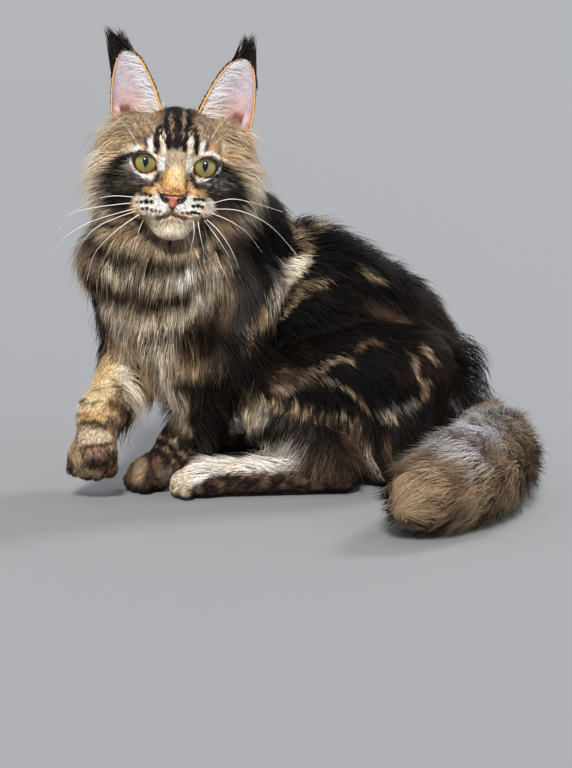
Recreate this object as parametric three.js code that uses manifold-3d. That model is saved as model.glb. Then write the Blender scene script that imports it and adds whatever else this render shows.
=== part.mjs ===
// A young Maine coon cat, life size, sitting on its haunches with the right forepaw raised.
// Millimetres, +Z up. The body lies along X with the chest towards -X, and the face looks towards -Y.
import * as THREE from "three";
import { mergeVertices } from "three/addons/utils/BufferGeometryUtils.js";
import Module from "manifold-3d";

const wasm = await Module();
wasm.setup();

// Driving dimensions
const GAP = 0.3; // clear space between nodes that touch
const EYE_RADIUS = 10.5;
const EYE_SPACING = 45.6; // between the centres of the eyes
const LID_THICKNESS = 1.7;
const EAR_THICKNESS = 2;
const FACE = [-82.7, -100, 256.2]; // midpoint between the fronts of the eyes
const FACE_ROLL = 4.5; // degrees, towards the cat's left shoulder
const FACE_YAW = 2.5; // degrees, towards the cat's left
const PELVIS_Y = 28; // the plane that mirrors the hind legs
const SEED = 7;

const degrees = (angle) => (angle * Math.PI) / 180;

// Vectors as plain arrays
const add = (a, b) => [a[0] + b[0], a[1] + b[1], a[2] + b[2]];
const sub = (a, b) => [a[0] - b[0], a[1] - b[1], a[2] - b[2]];
const mul = (a, k) => [a[0] * k, a[1] * k, a[2] * k];
const dot = (a, b) => a[0] * b[0] + a[1] * b[1] + a[2] * b[2];
const cross = (a, b) => [a[1] * b[2] - a[2] * b[1], a[2] * b[0] - a[0] * b[2], a[0] * b[1] - a[1] * b[0]];
const size = (a) => Math.hypot(a[0], a[1], a[2]);
const unit = (a) => mul(a, 1 / (size(a) || 1));
const mix = (a, b, t) => add(mul(a, 1 - t), mul(b, t));
const lerp = (a, b, t) => a + (b - a) * t;

// Seeded random numbers from 0 to 1
let seed = SEED;
function random() {
  seed = (seed * 1664525 + 1013904223) % 4294967296;
  return seed / 4294967296;
}
const vary = (value, share) => value * (1 + share * (2 * random() - 1));

// Forms, as distances in millimetres that are below zero inside
function ball(centre, radii) {
  return (p) => {
    const q = sub(p, centre);
    const near = Math.hypot(q[0] / radii[0], q[1] / radii[1], q[2] / radii[2]);
    const steep = Math.hypot(q[0] / radii[0] ** 2, q[1] / radii[1] ** 2, q[2] / radii[2] ** 2);
    return steep > 1e-9 ? (near * (near - 1)) / steep : -Math.min(...radii);
  };
}

function limb(from, to, fromRadius, toRadius) {
  const along = sub(to, from);
  const length2 = dot(along, along);
  return (p) => {
    const t = Math.min(1, Math.max(0, dot(sub(p, from), along) / length2));
    return size(sub(p, add(from, mul(along, t)))) - lerp(fromRadius, toRadius, t);
  };
}

function blend(soft, ...forms) {
  return (p) =>
    forms
      .map((form) => form(p))
      .reduce((a, b) => {
        const h = Math.max(soft - Math.abs(a - b), 0) / soft;
        return Math.min(a, b) - (h * h * soft) / 4;
      });
}

// A row of limbs along a smooth curve through points with radii
function chain(points, radii, steps = 24) {
  const curve = new THREE.CatmullRomCurve3(points.map((p) => new THREE.Vector3(...p)));
  const at = (t) => curve.getPoint(t).toArray();
  const radius = (t) => {
    const s = t * (radii.length - 1);
    const i = Math.min(radii.length - 2, Math.floor(s));
    return lerp(radii[i], radii[i + 1], s - i);
  };
  const pieces = [];
  for (let i = 0; i < steps; i++) {
    const a = i / steps;
    const b = (i + 1) / steps;
    pieces.push(limb(at(a), at(b), radius(a), radius(b)));
  }
  return (p) => Math.min(...pieces.map((piece) => piece(p)));
}

function slope(form, p) {
  const e = 0.5;
  return unit([
    form([p[0] + e, p[1], p[2]]) - form([p[0] - e, p[1], p[2]]),
    form([p[0], p[1] + e, p[2]]) - form([p[0], p[1] - e, p[2]]),
    form([p[0], p[1], p[2] + e]) - form([p[0], p[1], p[2] - e]),
  ]);
}

// How far a ray from inside a form goes before it leaves it
const RAY_STEP = 2;
const RAY_LIMIT = 200;
const RAY_HALVINGS = 14;
function reach(form, from, direction, level) {
  let inside = 0;
  let outside = 0.5;
  while (form(add(from, mul(direction, outside))) < level && outside < RAY_LIMIT) {
    inside = outside;
    outside += RAY_STEP;
  }
  for (let i = 0; i < RAY_HALVINGS; i++) {
    const middle = (inside + outside) / 2;
    if (form(add(from, mul(direction, middle))) < level) inside = middle;
    else outside = middle;
  }
  return (inside + outside) / 2;
}

// An axis to wrap a form round: a smooth curve with a steady frame
function axis(points, up) {
  const curve = new THREE.CatmullRomCurve3(points.map((p) => new THREE.Vector3(...p)));
  return (t) => {
    const centre = curve.getPointAt(t).toArray();
    const forward = curve.getTangentAt(t).toArray();
    const top = unit(sub(up, mul(forward, dot(up, forward))));
    return { centre, forward, top, side: cross(forward, top) };
  };
}

// The direction of a ray from an axis: angle 0 is the top, and lean turns it towards the axis's own direction
function rayFrom(frame, angle, lean = 0) {
  const across = add(mul(frame.top, Math.cos(angle)), mul(frame.side, Math.sin(angle)));
  return add(mul(across, Math.cos(lean)), mul(frame.forward, Math.sin(lean)));
}

// A solid from points and triangles, with its faces turned out
function outward(points, faces) {
  const made = () => {
    const mesh = { numProp: 3, vertProperties: new Float32Array(points), triVerts: new Uint32Array(faces) };
    return new wasm.Manifold(new wasm.Mesh(mesh));
  };
  if (made().volume() < 0) {
    for (let i = 0; i < faces.length; i += 3) [faces[i + 1], faces[i + 2]] = [faces[i + 2], faces[i + 1]];
  }
  return made();
}

// A solid from rings of points, closed by a point at each end
function solidOfRings(rings, first, last) {
  const around = rings[0].length;
  const vertices = [first, ...rings.flat(), last];
  const at = (ring, i) => 1 + ring * around + (i % around);
  const faces = [];
  for (let i = 0; i < around; i++) {
    faces.push(0, at(0, i + 1), at(0, i));
    for (let r = 0; r + 1 < rings.length; r++) {
      faces.push(at(r, i), at(r, i + 1), at(r + 1, i + 1));
      faces.push(at(r, i), at(r + 1, i + 1), at(r + 1, i));
    }
    faces.push(vertices.length - 1, at(rings.length - 1, i), at(rings.length - 1, i + 1));
  }
  return outward(vertices.flat(), faces);
}

// A form as a solid: rays leave the axis and stop at the surface.
// An end is round, with so many rings, or flat.
function wrap(form, path, { rings, around, start = 3, end = 3, from = 0, to = 1, grow = 0 }) {
  const ringAt = (frame, lean) =>
    Array.from({ length: around }, (_, i) => {
      const ray = rayFrom(frame, (2 * Math.PI * i) / around, lean);
      return add(frame.centre, mul(ray, reach(form, frame.centre, ray, grow)));
    });
  const pole = (frame, way) =>
    add(frame.centre, mul(frame.forward, way * reach(form, frame.centre, mul(frame.forward, way), grow)));
  const shifted = (frame, way) => ({ ...frame, centre: add(frame.centre, mul(frame.forward, way * grow)) });
  const made = [];
  const head = path(from);
  const tail = path(to);
  for (let i = start - 1; i > 0; i--) made.push(ringAt(head, (-Math.PI / 2) * (i / start)));
  for (let i = 0; i <= rings; i++) {
    const frame = path(lerp(from, to, i / rings));
    const way = i === 0 && !start ? -1 : i === rings && !end ? 1 : 0;
    made.push(ringAt(shifted(frame, way), 0));
  }
  for (let i = 1; i < end; i++) made.push(ringAt(tail, (Math.PI / 2) * (i / end)));
  const first = start ? pole(head, -1) : shifted(head, -1).centre;
  const last = end ? pole(tail, 1) : shifted(tail, 1).centre;
  return solidOfRings(made, first, last);
}

// A strand with a low three-sided section: a flat lock of hair, or a groove's cutter.
// A fat copy, for the room round it, grows most where the section is sharpest.
const EDGE_GROWTH = 5;
const RIDGE_GROWTH = 2.5;
const BASE_GROWTH = 1.6;
const TIP_GROWTH = 4;
function strand({ path, across, widths, depths }, grow = 0) {
  const point = (i, away) => add(path[i], mul(unit(sub(path[i], path[away])), TIP_GROWTH * grow));
  const rings = widths.map((width, n) => {
    const i = n + 1;
    const forward = unit(sub(path[i + 1], path[i - 1]));
    const side = unit(sub(across[i], mul(forward, dot(across[i], forward))));
    const out = cross(forward, side);
    const half = width + EDGE_GROWTH * grow;
    const low = -depths[n] * 0.6 - BASE_GROWTH * grow;
    return [
      [half, low],
      [0, depths[n] * 1.2 + RIDGE_GROWTH * grow],
      [-half, low],
    ].map(([wide, high]) => add(path[i], add(mul(side, wide), mul(out, high))));
  });
  return solidOfRings(rings, point(0, 1), point(path.length - 1, path.length - 2));
}

// A lock grows out of a form at a root, lies along the flow and keeps clear of its neighbours.
// One that would start inside a neighbour, or fold back on itself, is left out.
const LOCK_STEPS = [0.36, 0.36, 0.28]; // shares of the length
const LOCK_LIFTS = [1, 0.6, 0]; // how much of the lift is left at each step
const LOCK_WIDTHS = [0.75, 1, 0.68];
const LOCK_SWAY = 0.22; // how far a lock may turn from the flow
const LOCK_CLEARANCE = 1.4;
const ROOT_CLEARANCE = 2;
const SHARPEST_BEND = 0.5; // cosine
const LARGEST_PUSH = 10;
const ABOVE_FLOOR = 0.8;
function lock({ form, root, flow, long, wide, thick, lift = 0.3, sink = 8, clear = [] }) {
  if (clear.some((other) => other(root) < ROOT_CLEARANCE)) return null;
  const heading = typeof flow === "function" ? flow : () => flow;
  const length = vary(long, 0.16);
  const width = vary(wide, 0.15) / 2;
  const depth = thick / 2;
  const lean = vary(lift, 0.3);
  const turn = LOCK_SWAY * (2 * random() - 1);
  const out = slope(form, root);
  const path = [];
  const across = [];
  let p = add(root, mul(out, -1));
  LOCK_STEPS.forEach((step, i) => {
    const normal = slope(form, p);
    const flat = (v) => unit(sub(v, mul(normal, dot(v, normal))));
    const lie = flat(heading(p));
    const side = cross(normal, lie);
    const way = unit(add(lie, mul(side, turn)));
    if (i === 0) {
      path.push(add(root, add(mul(out, -sink), mul(way, -0.35 * sink))), p);
      across.push(side, side);
    }
    const up = lean * LOCK_LIFTS[i];
    const forward = add(mul(way, Math.cos(up)), mul(normal, Math.sin(up)));
    const from = p;
    p = add(p, mul(forward, length * step));
    const room = depth * LOCK_WIDTHS[Math.min(i + 1, 2)] + LOCK_CLEARANCE + 0.06 * width;
    for (const other of [form, ...clear]) {
      const short = room - other(p);
      if (short > 0) p = add(p, mul(slope(other, p), Math.min(short, LARGEST_PUSH)));
    }
    p = add(from, mul(unit(sub(p, from)), length * step));
    p[2] = Math.max(p[2], depth + ABOVE_FLOOR);
    path.push(p);
    across.push(side);
  });
  const ways = path.slice(2).map((q, i) => unit(sub(q, path[i + 1])));
  const bends = ways.slice(1).map((way, i) => dot(way, ways[i]));
  if (Math.min(...bends) < SHARPEST_BEND) return null;
  return {
    path,
    across,
    widths: LOCK_WIDTHS.map((share) => width * share),
    depths: LOCK_WIDTHS.map((share) => depth * (0.35 + 0.65 * share)),
  };
}

// The share of a row at which a root stands: every other row is offset, and no two are quite alike
const jitter = () => 0.3 * (random() - 0.5);
const shareOf = (row, i, count) => (i + 0.5 + (row % 2 ? 0.25 : -0.25) + jitter()) / count;

// Roots in rows along an axis, between two angles from its top
function rowsOn(form, path, { from, to, rows, first, last, count }) {
  const roots = [];
  for (let row = 0; row < rows; row++) {
    for (let i = 0; i < count; i++) {
      const t = lerp(from, to, (row + 0.5 + jitter()) / rows);
      const share = shareOf(row, i, count);
      const frame = path(t);
      const ray = rayFrom(frame, degrees(lerp(first, last, share)));
      roots.push({ root: add(frame.centre, mul(ray, reach(form, frame.centre, ray, 0))), frame });
    }
  }
  return roots;
}

// Roots on a form, on rays from a centre: azimuth 0 looks along -Y, and grows towards +X
function fanOn(form, centre, { first, last, count, heights }) {
  const roots = [];
  heights.forEach((height, row) => {
    for (let i = 0; i < count; i++) {
      const a = degrees(lerp(first, last, shareOf(row, i, count)));
      const e = degrees(height + 24 * jitter());
      const ray = [Math.sin(a) * Math.cos(e), -Math.cos(a) * Math.cos(e), Math.sin(e)];
      roots.push(add(centre, mul(ray, reach(form, centre, ray, 0))));
    }
  });
  return roots;
}

// A three.js geometry as a solid
function solidOf(geometry) {
  const bare = geometry.index ? geometry.toNonIndexed() : geometry.clone();
  bare.deleteAttribute("normal");
  bare.deleteAttribute("uv");
  const merged = mergeVertices(bare, 1e-3);
  return outward([...merged.attributes.position.array], [...merged.index.array]);
}

function sphere(centre, radius) {
  return solidOf(new THREE.SphereGeometry(radius, 12, 8).rotateX(Math.PI / 2).translate(...centre));
}

// The head's own frame: X to the cat's left, Y towards the back of the head, Z up, from between the eyes
const headTurn = new THREE.Matrix4()
  .makeRotationZ(degrees(FACE_YAW))
  .multiply(new THREE.Matrix4().makeRotationY(degrees(FACE_ROLL)))
  .setPosition(...FACE);
const headBack = headTurn.clone().invert();
const fromHead = (p) => new THREE.Vector3(...p).applyMatrix4(headTurn).toArray();
const toHead = (p) => new THREE.Vector3(...p).applyMatrix4(headBack).toArray();
const sides = [
  ["right", -1],
  ["left", 1],
];
const pair = (form) => sides.map(([, way]) => form(way));

const headForm = blend(
  9,
  ball([0, 46, 9], [38, 43, 31]), // cranium
  ball([0, 24, 14], [27, 20, 20]), // forehead
  ball([0, 29, -11], [43, 26, 35]), // face
  ball([0, 34, -38], [30, 32, 17]), // jaw
  limb([0, 10, 3], [0, -17, -19], 11.5, 8.5), // bridge of the nose
  ball([0, -2, -33], [22, 25, 15]), // muzzle
  ball([0, -9, -50], [15, 13, 9.5]), // chin
  ball([0, -22, -23], [8.5, 6.5, 6.5]), // tip of the nose
  ...pair((way) => ball([way * 19, 13, 15], [13, 10, 9])), // brows
  ...pair((way) => ball([way * 32, 38, -12], [21, 26, 25])), // cheekbones
  ...pair((way) => ball([way * 34, 46, -28], [20, 24, 24])), // cheek coat
  ...pair((way) => ball([way * 33, 44, 18], [16, 19, 17])), // under the ears
  ...pair((way) => ball([way * 12.5, -12, -35.5], [15.5, 14, 11.5])), // whisker pads
  ...pair((way) => ball([way * 22, 12, -12], [12, 10, 9])), // under the eyes
);
const headCore = (p) => headForm(toHead(p));
const headAxis = axis([fromHead([0, 14, -18]), fromHead([0, 34, -8]), fromHead([0, 56, 2])], [0, 0, 1]);

const torsoCore = blend(
  26,
  ball([2, 8, 146], [78, 50, 62]), // rib cage
  ball([64, 24, 104], [70, 52, 70]), // loins and belly
  ball([108, 30, 62], [42, 54, 58]), // rump
  ball([-46, -8, 150], [46, 46, 58]), // shoulders
);
const torsoAxis = axis(
  [
    [118, 30, 62],
    [84, 26, 104],
    [36, 18, 130],
    [-12, 4, 144],
    [-50, -10, 152],
  ],
  [0.35, 0, 1],
);

const chestCore = blend(
  18,
  limb([-84, -46, 158], [-78, -56, 96], 44, 24), // brisket
  ball([-92, -46, 150], [52, 38, 42]),
);
const chestAxis = axis(
  [
    [-82, -46, 168],
    [-84, -50, 140],
    [-78, -56, 96],
  ],
  [0, -1, 0],
);

const neckCore = blend(
  20,
  limb([-44, -4, 190], [-80, -44, 218], 50, 42), // nape
  ball([-93, -49, 181], [66, 44, 38]), // ruff
);
const neckAxis = axis(
  [
    [-58, -16, 186],
    [-74, -36, 200],
    [-84, -50, 214],
  ],
  [0, 0, 1],
);

// One hind leg, for the cat's left; way -1 mirrors it
const hind = (way) => (p) => [p[0], PELVIS_Y + way * (p[1] - PELVIS_Y), p[2]];
const thighForm = blend(
  18,
  limb([92, -6, 90], [-4, -50, 82], 44, 27), // thigh
  ball([52, -24, 84], [62, 36, 50]), // haunch
  ball([80, -22, 48], [44, 34, 44]), // seat
  limb([-12, -52, 68], [34, -62, 26], 26, 18), // shank
);
const footForm = blend(
  10,
  limb([44, -64, 15], [-58, -78, 13], 14, 12.5), // metatarsus
  ball([-70, -81, 12], [19, 16, 12]), // ball of the foot
);
const thighPath = [
  [88, -16, 84],
  [44, -34, 80],
  [6, -50, 76],
];
const footPath = [
  [40, -64, 13],
  [-10, -71, 12],
  [-68, -80, 11],
];

const foreLeft = blend(
  14,
  limb([-40, -42, 158], [-44, -50, 110], 34, 26), // upper arm
  limb([-44, -50, 108], [-84, -48, 38], 23, 15.5), // forearm
  limb([-84, -48, 34], [-104, -53, 15], 15, 14), // wrist
  ball([-106, -54, 13], [20, 17, 13]), // paw
);
const foreLeftAxis = axis(
  [
    [-40, -44, 148],
    [-46, -50, 106],
    [-64, -49, 70],
    [-86, -49, 32],
    [-106, -54, 13],
  ],
  [0, -1, 0],
);
const foreRight = blend(
  14,
  limb([-114, 2, 164], [-116, 0, 112], 40, 29), // upper arm
  limb([-114, 0, 110], [-142, -78, 66], 25, 18), // forearm
  limb([-142, -80, 62], [-147, -97, 38], 17.5, 17), // wrist
  ball([-147, -101, 32], [19, 15, 15]), // paw
);
const foreRightAxis = axis(
  [
    [-112, 2, 152],
    [-118, -4, 112],
    [-128, -40, 88],
    [-143, -80, 60],
    [-147, -98, 34],
  ],
  [-1, 0, 0],
);

const TAIL_POINTS = [
  [112, 34, 40],
  [142, 24, 36],
  [158, -18, 33],
  [158, -80, 32],
  [144, -142, 32],
  [120, -200, 31],
  [94, -246, 28],
];
const TAIL_RADII = [18, 22, 27, 31, 33, 32, 24];
const tailCore = chain(TAIL_POINTS, TAIL_RADII);
const tailAxis = axis(TAIL_POINTS, [0, 0, 1]);

// Three grooves over the front of a paw part its four toes
function toeGrooves({ centre, forward, up, spread, ahead, high }) {
  const side = cross(forward, up);
  return [-1, 0, 1].map((n) => {
    const radial = [100, 66, 24, -24].map((angle) => {
      const a = degrees(angle);
      return add(mul(forward, ahead * Math.cos(a)), mul(up, high * Math.sin(a)));
    });
    const middle = add(centre, add(mul(side, n * spread), mul(forward, -1.2 * Math.abs(n))));
    return strand({
      path: radial.map((r) => add(middle, r)),
      across: radial.map(unit),
      widths: [3.8, 4.2],
      depths: [0.9, 1.1],
    });
  });
}

const meet = (solids) => wasm.Manifold.union(solids);

// Eyes, lids, nose, mouth
const eyeCentre = (way) => [(way * EYE_SPACING) / 2, EYE_RADIUS + 0.8, 0];

function eye(way, grow) {
  return sphere(fromHead(eyeCentre(way)), EYE_RADIUS + grow);
}

// The almond between the lids, as a prism along the line of sight
function lidOpening(way) {
  const outline = new THREE.Shape();
  outline.moveTo(-9.4, -3.8);
  outline.bezierCurveTo(-6.5, 7.8, 4, 11.2, 9.6, 2.8);
  outline.bezierCurveTo(7.5, -8, -3, -10.4, -9.4, -3.8);
  const g = new THREE.ExtrudeGeometry(outline, { depth: 24, bevelEnabled: false, curveSegments: 4 });
  g.rotateX(Math.PI / 2).scale(way, 1, 1);
  return solidOf(g.translate(...eyeCentre(way)).applyMatrix4(headTurn));
}

function tube(points, radius, steps, around = 3) {
  const curve = new THREE.CatmullRomCurve3(points.map((p) => new THREE.Vector3(...fromHead(p))));
  const section = new THREE.Shape();
  section.absarc(0, 0, radius, 0, 2 * Math.PI);
  const settings = { steps, extrudePath: curve, bevelEnabled: false, curveSegments: around };
  return solidOf(new THREE.ExtrudeGeometry(section, settings));
}

// The point of the face that is seen at x and z from the front
function onFace(x, z) {
  const from = [x, 24, z];
  return add(from, mul([0, -1, 0], reach(headForm, from, [0, -1, 0], 0)));
}

const LIP = [
  [-3, -42],
  [0, -41],
  [6, -44],
  [12, -45.2],
  [17, -44.6],
  [21, -42.6],
];
const CLEFT = [-30, -34, -38, -42];
function mouth() {
  const lip = (way) => LIP.map(([x, z]) => onFace(way * x, z));
  const cleft = CLEFT.map((z) => onFace(0, z));
  return meet([tube(cleft, 1, 3), ...pair((way) => tube(lip(way), 1.3, 6))]);
}

function noseSolid(grow) {
  const form = blend(
    3,
    ball([0, -27, -24.5], [7.6, 4, 3.8]),
    ...pair((way) => ball([way * 4.6, -26.4, -26], [3.6, 3.6, 3.4])),
    ball([0, -27.4, -29], [3.2, 3.4, 4]),
  );
  const path = axis([fromHead([0, -25, -26.5]), fromHead([0, -28, -26.5])], [0, 0, 1]);
  return wrap((p) => form(toHead(p)), path, { rings: 1, around: 12, start: 1, end: 3, grow });
}

const nostril = (way) =>
  tube(
    [
      [way * 2.6, -33, -27.2],
      [way * 3.6, -29.6, -26.8],
      [way * 5.2, -27.2, -26],
    ],
    1.25,
    3,
  );

function head(grow) {
  const skull = wrap(headCore, headAxis, { rings: 7, around: 24, start: 7, end: 3, grow });
  const lids = pair((way) => sphere(fromHead(eyeCentre(way)), EYE_RADIUS + LID_THICKNESS + grow));
  if (grow) return meet([skull, ...lids]);
  const openings = pair(lidOpening);
  return meet([skull, ...lids]).subtract(meet([...openings, mouth()]));
}

// An ear: a curved leaf with an even thickness, open to the front
const EAR_ROWS = 7;
const EAR_COLUMNS = 6;
const EAR_ROOT = -0.22; // how far the leaf goes on into the head
function earPoint(way, across, up, offset) {
  const width = Math.sqrt(Math.max(0, 1 - Math.max(0, up) ** 2.6));
  const middle = [lerp(32, 46, Math.max(0, up) ** 0.9), lerp(42, 45, up), lerp(24, 84.5, up)];
  const half = lerp(20, 16.5, up) * width;
  const inner = [middle[0] - half, middle[1] - 3, middle[2] + half * lerp(0.42, 0.15, up)];
  const outer = [middle[0] + half, middle[1] + 1, middle[2] - half * lerp(0.42, 0.15, up)];
  const bow = lerp(19, 1.2, Math.max(0, up) ** 1.5) + offset;
  const angle = Math.PI * across;
  const centre = mix(inner, outer, 0.5);
  const reachOut = add(sub(outer, centre), mul(unit(sub(outer, inner)), offset));
  const at = add(sub(centre, mul(reachOut, Math.cos(angle))), [0, bow * Math.sin(angle), 0]);
  return fromHead([way * at[0], at[1], at[2]]);
}

function earShell(way, grow) {
  const thick = EAR_THICKNESS + 2 * grow;
  const rings = [];
  for (let row = 0; row <= EAR_ROWS; row++) {
    const up = lerp(EAR_ROOT, 0.995, (row / EAR_ROWS) ** 0.8);
    const inside = [];
    const outside = [];
    for (let i = 0; i <= EAR_COLUMNS; i++) {
      inside.push(earPoint(way, i / EAR_COLUMNS, up, -grow));
      outside.push(earPoint(way, 1 - i / EAR_COLUMNS, up, thick - grow));
    }
    rings.push([...inside, ...outside]);
  }
  const middle = (ring) => mul(ring.reduce(add), 1 / ring.length);
  return solidOfRings(rings, middle(rings[0]), middle(rings.at(-1)));
}

// The coat
const DOWN = [0, 0, -1];
const thighCore = (way) => (p) => thighForm(hind(way)(p));
const footCore = (way) => (p) => footForm(hind(way)(p));
const faceMiddle = fromHead([0, 44, -8]);
const fromHeadAlong = (v) => sub(fromHead(v), fromHead([0, 0, 0]));

function headCoat() {
  const rows = { count: 2, heights: [22, -8, -36] };
  const roots = (way) => fanOn(headForm, [way * 14, 42, -16], { first: way * 66, last: way * 108, ...rows });
  const cheek = (way) =>
    roots(way).map((root) => ({
      form: headCore,
      root: fromHead(root),
      flow: fromHeadAlong([way * 0.5, 0.3, -0.8]),
      long: 27,
      wide: 17,
      thick: 4,
      lift: 0.75,
    }));
  return pair(cheek).flat().map(lock);
}

// Where the strands of the tufts end, from the tips of the ears
const EAR_TUFTS = {
  right: [
    [15, -0.8, 17],
    [7, 0.2, 18],
    [2, 1.2, 12],
  ],
  left: [
    [6, -0.9, 17],
    [-2.5, 0.3, 18],
    [2, 1.3, 12.5],
  ],
};

function earCoat(way) {
  const tip = earPoint(way, 0.5, 0.97, 1);
  const at = (x, y, z) => add(tip, fromHeadAlong([way * x, y, z]));
  const tuft = ([x, y, z]) => ({
    path: [at(0, 0.3, -6), at(0.1 * x, y, 1.4), at(0.45 * x, y, 0.5 * z), at(x, y, z)],
    across: Array(4).fill(fromHeadAlong([1, 0, 0])),
    widths: [1.9, 1.3],
    depths: [1.1, 0.8],
  });
  return EAR_TUFTS[way < 0 ? "right" : "left"].map(tuft);
}

function neckCoat() {
  const ruffFlow = (p) => add(mul(unit(sub(p, faceMiddle)), 0.55), DOWN);
  const ruff = fanOn(neckCore, [-84, -48, 188], {
    first: -104,
    last: 122,
    count: 7,
    heights: [0, -17, -38],
  });
  const nape = rowsOn(neckCore, neckAxis, { from: 0, to: 0.7, rows: 2, first: -75, last: 75, count: 2 });
  return [
    ...ruff.map((root) => ({
      root,
      flow: ruffFlow,
      long: 46,
      wide: 26,
      lift: 0.45,
    })),
    ...nape.map(({ root }) => ({ root, flow: [0.7, 0.35, -0.55], long: 44, wide: 30, lift: 0.14 })),
  ].map((one) =>
    lock({
      form: neckCore,
      thick: 5,
      clear: [chestCore, torsoCore, foreLeft, foreRight],
      ...one,
    }),
  );
}

function chestCoat() {
  const rows = rowsOn(chestCore, chestAxis, { from: 0.1, to: 1, rows: 4, first: -80, last: 95, count: 4 });
  return rows.map(({ root }) =>
    lock({
      form: chestCore,
      root,
      flow: [-0.05, -0.12, -1],
      long: 46,
      wide: 23,
      thick: 5,
      lift: 0.34,
      clear: [foreLeft, foreRight, thighForm],
    }),
  );
}

function torsoCoat() {
  const rowsFrom = (rows) => rowsOn(torsoCore, torsoAxis, rows);
  const back = rowsFrom({ from: 0.02, to: 0.96, rows: 6, first: -70, last: 70, count: 4 });
  const belly = rowsFrom({ from: 0.5, to: 0.85, rows: 1, first: 140, last: 220, count: 3 });
  const flow = (frame) => add(mul(frame.forward, -1), [0, 0, -0.45]);
  return [
    ...back.map(({ root, frame }) => ({ root, flow: flow(frame), long: 54, wide: 28, lift: 0.2 })),
    ...belly.map(({ root }) => ({ root, flow: [0.5, 0, -1], long: 32, wide: 18, lift: 0.5 })),
  ].map((one) =>
    lock({
      form: torsoCore,
      thick: 5,
      clear: [thighForm, thighCore(-1), tailCore, foreLeft, foreRight],
      ...one,
    }),
  );
}

function foreCoat(form, path, outer, rear) {
  const arm = rowsOn(form, path, { from: 0, to: 0.45, rows: 3, ...outer });
  const feathering = rowsOn(form, path, { from: 0.25, to: 0.7, rows: 3, count: 1, ...rear });
  return [
    ...arm.map(({ root }) => ({ root, flow: [0, 0, -1], long: 40, wide: 25, thick: 5, lift: 0.5 })),
    ...feathering.map(({ root, frame }) => ({
      root,
      flow: add(frame.forward, [0.25, 0, -0.5]),
      long: 26,
      wide: 12,
      thick: 3.6,
      lift: 0.4,
      sink: 6,
    })),
  ].map((one) => lock({ form, clear: [thighForm, footForm, chestCore, torsoCore], ...one }));
}

function thighCoat(way, form, path) {
  const flip = (degrees) => -way * degrees;
  const side = rowsOn(form, path, { from: 0, to: 1, rows: 5, first: flip(38), last: flip(128), count: 2 });
  const hem = rowsOn(form, path, { from: 0, to: 1, rows: 4, first: flip(130), last: flip(165), count: 1 });
  const seat = fanOn(form, hind(way)([76, -16, 54]), {
    first: way > 0 ? 40 : 140,
    last: way > 0 ? 80 : 100,
    count: 1,
    heights: [14, -16],
  });
  return [
    ...side.map(({ root }) => ({ root, flow: [0.75, 0, -0.75], long: 42, wide: 26, lift: 0.2 })),
    ...hem.map(({ root }) => ({ root, flow: [0.3, 0, -1], long: 38, wide: 20, lift: 0.35 })),
    ...seat.map((root) => ({ root, flow: [0.4, 0, -1], long: 34, wide: 18, lift: 0.3 })),
  ].map((one) =>
    lock({
      form,
      thick: 4.6,
      clear: [footCore(way), tailCore, torsoCore, foreLeft, foreRight],
      ...one,
    }),
  );
}

const TAIL_ROWS = 3; // in each of its three lengths
function tailCoat(i) {
  const rowsFrom = (rows) => rowsOn(tailCore, tailAxis, rows);
  const from = i / 3 + (i ? 0.02 : 0.1);
  const rows = rowsFrom({ from, to: (i + 1) / 3, rows: TAIL_ROWS, first: -125, last: 125, count: 4 });
  const end = i < 2 ? [] : rowsFrom({ from: 0.97, to: 1, rows: 1, first: -100, last: 100, count: 3 });
  return [...rows, ...end].map(({ root, frame }) =>
    lock({
      form: tailCore,
      root,
      flow: frame.forward,
      long: 60,
      wide: 29,
      thick: 6,
      lift: 0.46,
      clear: [torsoCore, thighForm, thighCore(-1)],
    }),
  );
}

// Nodes, each with the nodes that it makes room for
const limbNode = (name, form, path, coat, after, cuts) => ({
  name,
  make: (grow) => wrap(form, path, { rings: 9, around: 12, start: 2, end: 3, grow }),
  coat,
  after,
  cuts,
});

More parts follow.
